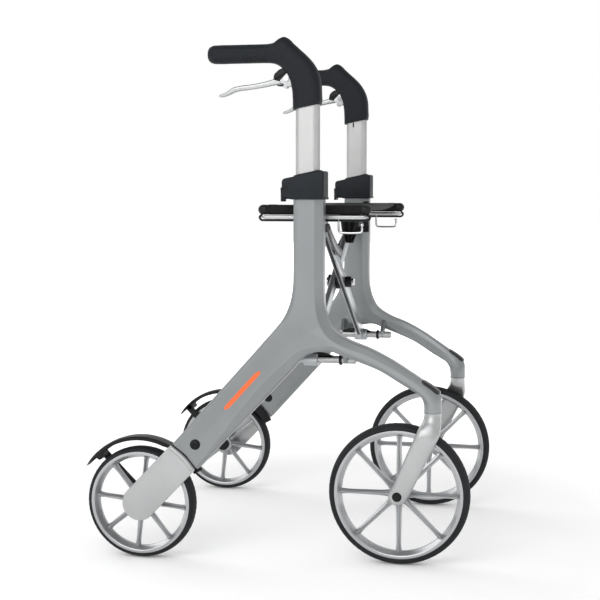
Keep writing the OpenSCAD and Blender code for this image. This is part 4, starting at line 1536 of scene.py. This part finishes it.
    def guide_link(self, side: Side, x0: float) -> None:
        """A cranked guide link with two bosses, from the column's bracket to a brace.

        Args:
            side: The side it stands on.
            x0: Its rear face.
        """
        near, far = np.array(self.link_pin), self.far_pin()
        mid = (near + far) / 2 + (4, -12)
        outline = np.vstack([bow(near + (0, 7.5), mid + (0, 11), far + (2, 7.5)),
                             bow(far + (-2, -7.5), mid + (0, -9), near + (0, -7.5))])
        shell = Shell().plate(outline, x0, x0 + 5, 1.1, Plane.FRONT)
        for point, hole in ((near, 3.6), (far, 0.01)):
            ring = [(hole, x0 - 0.25), (6.6, x0 - 0.25), (7.8, x0 + 0.6), (7.8, x0 + 4.4),
                    (6.6, x0 + 5.25), (hole, x0 + 5.25)]
            shell.turned(ring, (0, *point), 0, 40)
        # painted shade: the link's finish is the brace silver, darkened
        SidePart(side).add(shell, "link_plate", LINK_SHADED_SILVER, "link", "guide_link")

    def make(self) -> None:
        """Make every piece of the linkage."""
        self.brace("brace_a", Side.LEFT, 57, 44)
        self.brace("brace_b", Side.RIGHT, 75, 62)
        self.edging("brace_a", Side.LEFT, 57)
        self.edging("brace_b", Side.RIGHT, 75)
        self.hub()
        for side in Side:
            self.pivot_tube(side)
        self.guide_link(Side.RIGHT, 86)
        self.guide_link(Side.LEFT, 44)


# ------------------------------------------------------------------ seat


@dataclass
class Seat:
    """The sling, the rails that carry it, the bag hooks and the folding strap."""

    rail_y: float = 205.0
    rail_z: float = 622.0
    rail_r: float = 9.0
    rail_x: tuple = (-40.0, 164.0)
    cloth_x: tuple = (-22.0, 146.0)
    sag: float = 9.0
    strap_top: float = 621.5
    strap_end: float = 556.0
    strap_width: float = 42.0
    pleats: int = 3

    def rail(self, side: Side, body: str) -> None:
        """A rail strip under the cloth tube, with rolled edges and round front and rear ends.

        Args:
            side: The side it stands on.
            body: The brace that carries it.
        """
        x0, x1, count = self.rail_x[0] + 5, self.rail_x[1] - 5, 30
        path = np.stack([np.linspace(x0, x1, count), np.full(count, self.rail_y),
                         np.full(count, 608.8)], -1)
        ends = round_ends(np.linspace(0, 1, count), 24)
        rings = sweep(path, Y_AXIS, Z_AXIS, 7.8 * ends, 3.7 * ends, 5.0, 40)
        fit(Shell().tube(rings).build(side.body("rail_strip"), CAST_SILVER, side), body,
            side.body("seat_rail"))
        bar = [(0.01, x0 + 1), (6.2, x0 + 1), (7, x0 + 2), (7, x1 - 2), (6.2, x1 - 1),
               (0.01, x1 - 1)]
        caps = Shell().turned(bar, (0, self.rail_y, self.rail_z), 0, 40)
        for end, sign in ((self.rail_x[0], 1), (self.rail_x[1], -1)):
            a = np.linspace(0, np.pi / 2, 8)
            dome = [(self.rail_r * math.sin(b), end + sign * self.rail_r * (1 - math.cos(b)))
                    for b in a]
            dome = [(max(r, 0.01), x) for r, x in dome] + [
                (self.rail_r, end + sign * 15), (self.rail_r - 0.8, end + sign * 16),
                (0.01, end + sign * 16)]
            caps.turned(dome, (0, self.rail_y, self.rail_z), 0, 40)
        bead = round_corners([(-33, 613.5), (-38.5, 609), (-35, 603.2), (159, 603.2),
                              (162.5, 609), (157, 613.5)], [0.01, 3, 4, 4, 3, 0.01], 8)
        caps.tube(wire(Plane.SIDE.place(bead, self.rail_y), 2.0))
        fit(caps.build(side.body("rail_ends"), BLACK_PLASTIC, side), body)

    def sleeve(self, side: Side, body: str) -> bpy.types.Object:
        """The cloth tube sewn round a rail.

        Its radius swells and shrinks in a slanted wave between the stitches, and draws in softly
        towards both ends.

        Args:
            side: The side it stands on.
            body: The brace that carries it.

        Returns:
            The tube's object.
        """
        n, m = 140, 48
        x = np.linspace(self.rail_x[0] + 13, self.rail_x[1] - 13, n)[:, None]
        a = np.linspace(0, 2 * np.pi, m, endpoint=False)[None, :]
        pucker = 0.16 * np.sin(x * 2 * np.pi / 37.0 + 2.2 * np.sin(a)) * np.sin(a + 1.1) ** 2
        pull = 0.35 * np.exp(-((x - x[0]) / 5) ** 2) + 0.35 * np.exp(-((x - x[-1]) / 5) ** 2)
        r = self.rail_r - 0.1 + pucker - pull
        surface = np.stack([x + 0 * a, self.rail_y + r * np.cos(a),
                            self.rail_z + r * np.sin(a)], -1)
        cloth = np.stack([x * MM + 0 * a, 0 * x + a * self.rail_r * MM, 0 * x * a], -1)
        return fit(Shell().tube(surface, cloth).build(side.body("cloth_tube"), FABRIC, side, 60),
                   body, side.body("rail_sleeve"))

    def hook(self, side: Side, body: str) -> None:
        """A bent wire hook under the rail, with a ball on its free end.

        Args:
            side: The side it stands on.
            body: The brace that carries it.
        """
        corner = round_corners([(106, 606), (106, 582), (147, 582), (147, 596)],
                               [0.01, 5, 5, 0.01], 9)
        line = through(corner[np.r_[0, 9:27, 27]], 70)
        ball = [(max(3 * math.sin(b), 0.01), 596 - 3 * math.cos(b))
                for b in np.linspace(0, np.pi, 13)]
        shell = Shell().tube(wire(Plane.SIDE.place(line, self.rail_y), 1.9))
        shell.turned(ball, (147, self.rail_y, 0), 2, 24)
        fit(shell.build(side.body("wire_hook"), STEEL, side, 50), body, side.body("bag_hook"))

    def height(self, y: np.ndarray, x: np.ndarray) -> np.ndarray:
        """The height of the cloth's upper face.

        It leaves the tubes on their tops, falls in a catenary-like curve to the sag in the
        middle, and the free front and rear edges hang a little slacker than the middle.

        Args:
            y: Distances from the middle of the walker.
            x: Places along it, of a shape that goes with y.

        Returns:
            Heights, in the common shape of x and y.
        """
        share = np.clip(np.abs(y) / self.rail_y, 0, 1)
        along = (x - np.mean(self.cloth_x)) / (self.cloth_x[1] - self.cloth_x[0]) * 2
        fall = self.sag * (1 - share**2.2) * (1 + 0.12 * along**2)
        ripple = 0.5 * np.sin(along * 9 + 2.0 * share) * np.exp(-((share - 0.86) / 0.12) ** 2)
        return self.rail_z + self.rail_r - 0.2 - fall + ripple

    def sling(self) -> bpy.types.Object:
        """The seat cloth from tube to tube, with a folded hem along each free edge.

        Returns:
            The cloth's object.
        """
        n, m = 64, 150
        x = np.linspace(*self.cloth_x, n)[:, None]
        y = np.linspace(-self.rail_y, self.rail_y, m)[None, :]
        edge = np.minimum(x - self.cloth_x[0], self.cloth_x[1] - x)
        hem = 0.9 * np.clip(1 - ((edge - 8) / 8.5) ** 8, 0, 1) * (edge < 16.5)
        z = self.height(y, x) + hem * 0.5
        thick = 1.8 + hem
        flat = np.stack([x * MM + 0 * y, y * MM + 0 * x, 0 * x * y], -1)
        top = np.stack([x + 0 * y, y + 0 * x, z], -1)
        base = top - np.array([0, 0, 1.0]) * thick[..., None]
        closed = np.concatenate([top, base[::-1]], 0)
        cloth = np.concatenate([flat, flat[::-1]], 0)
        shell = Shell().grid(closed, wrap_u=True, cloth=cloth)
        for end in (0, -1):
            shell.cap(np.vstack([top[:, end], base[::-1, end]]))
        piece = shell.build("seat_cloth", FABRIC, Side.LEFT, 60)
        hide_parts("seat_sling")
        return piece

    def stitching(self) -> bpy.types.Object:
        """Two rows of thread along each hem, which dip into the cloth between the stitches.

        Returns:
            The thread's object.
        """
        shell = Shell()
        y = np.linspace(4 - self.rail_y, self.rail_y - 4, 800)
        for edge, inward in ((self.cloth_x[0], 1), (self.cloth_x[1], -1)):
            for step in (3.0, 14.0):
                x = np.full_like(y, edge + inward * step)
                z = self.height(y, x) + 0.45 + 0.38 * np.sin(y * 2 * np.pi / 4.2)
                shell.tube(wire(np.stack([x, y, z], -1), 0.4, 8))
        return shell.build("seat_stitching", THREAD, Side.LEFT, 60)

    def strap(self) -> bpy.types.Object:
        """The folding strap: one length of webbing, sewn flat at its top, gathered to its end.

        At each height the webbing keeps its full width along a wave across it: the wave's height
        is the square root of (full width squared less the gathered width squared), divided by
        four times the number of pleats.

        Returns:
            The strap's object.
        """
        full = self.strap_width
        z = np.linspace(self.strap_top, self.strap_end, 90)[:, None]
        u = np.linspace(0, 1, 76)[None, :]
        levels = (-self.strap_top, -580, -self.strap_end)
        left = np.interp(-z, levels, (66.0, 73.0, 82.0))
        right = np.interp(-z, levels, (108.0, 103.0, 94.0))
        width, drop = right - left, self.strap_top - z
        depth = np.sqrt(np.clip(full**2 - width**2, 0, None)) / (4 * self.pleats)
        phase = 2 * np.pi * self.pleats * u + drop / 14.0
        middle = np.stack([left + width * u, depth * np.sin(phase), z + 0 * u], -1)
        normal = np.cross(np.gradient(middle, axis=0), np.gradient(middle, axis=1))
        normal /= np.linalg.norm(normal, axis=-1, keepdims=True)
        roll = 0.8 + 0.7 * np.exp(-((z - 558.5) / 2.2) ** 2)
        flat = np.stack([full * u * MM + 0 * z, drop * MM + 0 * u, 0 * z * u], -1)
        front, back = middle + normal * roll[..., None], middle - normal * roll[..., None]
        shell = Shell().tube(np.concatenate([front, back[:, ::-1]], 1),
                             np.concatenate([flat, flat[:, ::-1]], 1))
        piece = shell.build("strap_webbing", WEBBING, Side.LEFT, 60)
        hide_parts("lift_strap")
        return piece

    def make(self) -> None:
        """Make every piece of the seat."""
        for side, body in ((Side.LEFT, "brace_a"), (Side.RIGHT, "brace_b")):
            self.rail(side, body)
            self.sleeve(side, body)
            self.hook(side, body)
        cloth, thread, strap = self.sling(), self.stitching(), self.strap()
        for piece in (cloth, thread, strap):
            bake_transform(piece)
            LOG.info("%s: %d faces", piece.name, len(piece.data.polygons))


# ------------------------------------------------------------------ the room


@dataclass
class Studio:
    """The camera, the lamps, the pale floor and the pale surroundings, in metres."""

    azimuth: float = 12.66
    elevation: float = 4.84
    distance: float = 2.467
    target: tuple = (-0.010, 0.0, 0.444)
    lens: float = 76.1
    lamp_aim: tuple = (0, 0, 0.4)
    floor_half: float = 14.0
    floor_z: float = -0.0006

    def camera(self) -> None:
        """A camera that looks at the target from the right, a little in front and above."""
        a, e = math.radians(self.azimuth), math.radians(self.elevation)
        look = Vector((-math.sin(a) * math.cos(e), math.cos(a) * math.cos(e), -math.sin(e)))
        data = bpy.data.cameras.new("camera")
        data.lens = self.lens
        data.sensor_width = 36.0
        data.clip_end = 50.0
        camera = bpy.data.objects.new("camera", data)
        bpy.context.collection.objects.link(camera)
        camera.matrix_world = Matrix.Translation(Vector(self.target) - look * self.distance) @ (
            look.to_track_quat("-Z", "Y").to_matrix().to_4x4())
        bpy.context.scene.camera = camera

    def lamp(self, name: str, place: tuple, size: float, power: float) -> None:
        """A square area lamp that shines at the middle of the walker.

        Args:
            name: The lamp's name.
            place: Where it hangs.
            size: Its edge.
            power: Watts.
        """
        data = bpy.data.lights.new(name, "AREA")
        data.shape = "SQUARE"
        data.size = size
        data.energy = power
        lamp = bpy.data.objects.new(name, data)
        bpy.context.collection.objects.link(lamp)
        look = Vector(self.lamp_aim) - Vector(place)
        lamp.matrix_world = Matrix.Translation(place) @ look.to_track_quat(
            "-Z", "Y").to_matrix().to_4x4()

    def room(self) -> None:
        """The pale floor, which glows more with distance, and the even white surroundings."""
        mesh = bpy.data.meshes.new("floor")
        half, low = self.floor_half, self.floor_z
        mesh.from_pydata([(-half, -half, low), (half, -half, low), (half, half, low),
                          (-half, half, low)], [], [(0, 1, 2, 3)])
        floor = bpy.data.objects.new("floor", mesh)
        bpy.context.collection.objects.link(floor)
        tree = Tree("pale floor")
        tree.set(Base_Color=linear((0.97, 0.97, 0.97)), Roughness=0.85,
                 Emission_Color=(1, 1, 1, 1))
        reach = tree.nodes.new("ShaderNodeVectorMath")
        reach.operation = "LENGTH"
        tree.links.new(tree.place, reach.inputs[0])
        tree.feed("Emission Strength", tree.ramp(reach.outputs["Value"], 0.6, 2.6, 0.12, 1.0))
        mesh.materials.append(tree.material)
        self.surroundings()

    def surroundings(self) -> None:
        """White as the camera sees it; as a light, brightest a third of the way up the walls."""
        world = bpy.data.worlds.new("white room")
        world.use_nodes = True
        nodes, links = world.node_tree.nodes, world.node_tree.links
        nodes.clear()
        out = nodes.new("ShaderNodeOutputWorld")
        mix = nodes.new("ShaderNodeMixShader")
        seen, light = nodes.new("ShaderNodeBackground"), nodes.new("ShaderNodeBackground")
        seen.inputs["Color"].default_value = (1, 1, 1, 1)
        path, place = nodes.new("ShaderNodeLightPath"), nodes.new("ShaderNodeTexCoord")
        split, ramp = nodes.new("ShaderNodeSeparateXYZ"), nodes.new("ShaderNodeValToRGB")
        stops = ramp.color_ramp.elements
        stops[0].position, stops[0].color = 0.0, (0.3, 0.305, 0.31, 1)
        stops[1].position, stops[1].color = 1.0, (0.4, 0.4, 0.4, 1)
        for height, level in ((0.2, 0.85), (0.6, 0.95)):
            stops.new(height).color = (level, level, level, 1)
        links.new(place.outputs["Generated"], split.inputs[0])
        links.new(split.outputs["Z"], ramp.inputs[0])
        links.new(ramp.outputs[0], light.inputs["Color"])
        links.new(path.outputs["Is Camera Ray"], mix.inputs[0])
        links.new(light.outputs[0], mix.inputs[1])
        links.new(seen.outputs[0], mix.inputs[2])
        links.new(mix.outputs[0], out.inputs[0])
        bpy.context.scene.world = world
        bpy.context.scene.view_settings.view_transform = "Standard"

    def make(self) -> None:
        """Make the camera, the room and the lamps."""
        self.camera()
        self.room()
        self.lamp("key", (-0.6, -2.9, 2.2), 2.4, 44)
        self.lamp("front", (3.2, 0.8, 2.2), 2.4, 4)
        self.lamp("rear", (-2.8, 1.4, 2.4), 2.2, 24)


def dress_nodes() -> None:
    """Give the CAD nodes that stay in view their finishes."""
    kept = {"height_tube": TUBE_SILVER, "lever_pin": STEEL, "front_axle": STEEL,
            "rear_axle": STEEL, "brake_shoe": BLACK_PLASTIC, "column_bracket": BLACK_PLASTIC}
    for side in Side:
        for part, finish in kept.items():
            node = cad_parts[side.body(part)]
            node.data.materials.clear()
            node.data.materials.append(finish.make())


def main() -> None:
    """Build the walker sub-assembly by sub-assembly."""
    logging.basicConfig(level=logging.INFO, format="%(name)s: %(message)s")
    Studio().make()
    dress_nodes()
    for side in Side:
        SideFrame(side).make()
        Collar(side).make()
        Handle(side).make()
        Caster(side).make()
        Wheel(side, "front", x=FRONT_AXLE[0], y=220.0, radius=FRONT_AXLE[1], tyre_h=12.0,
              hub_r=17.0).make()
        Wheel(side, "rear", x=REAR_AXLE[0], y=272.5, radius=REAR_AXLE[1], tyre_h=9.0,
              hub_r=16.0, turn=6.0).make()
        RearCarrier(side).make()
    FoldLinkage().make()
    Seat().make()


if __name__ == "__main__":
    main()
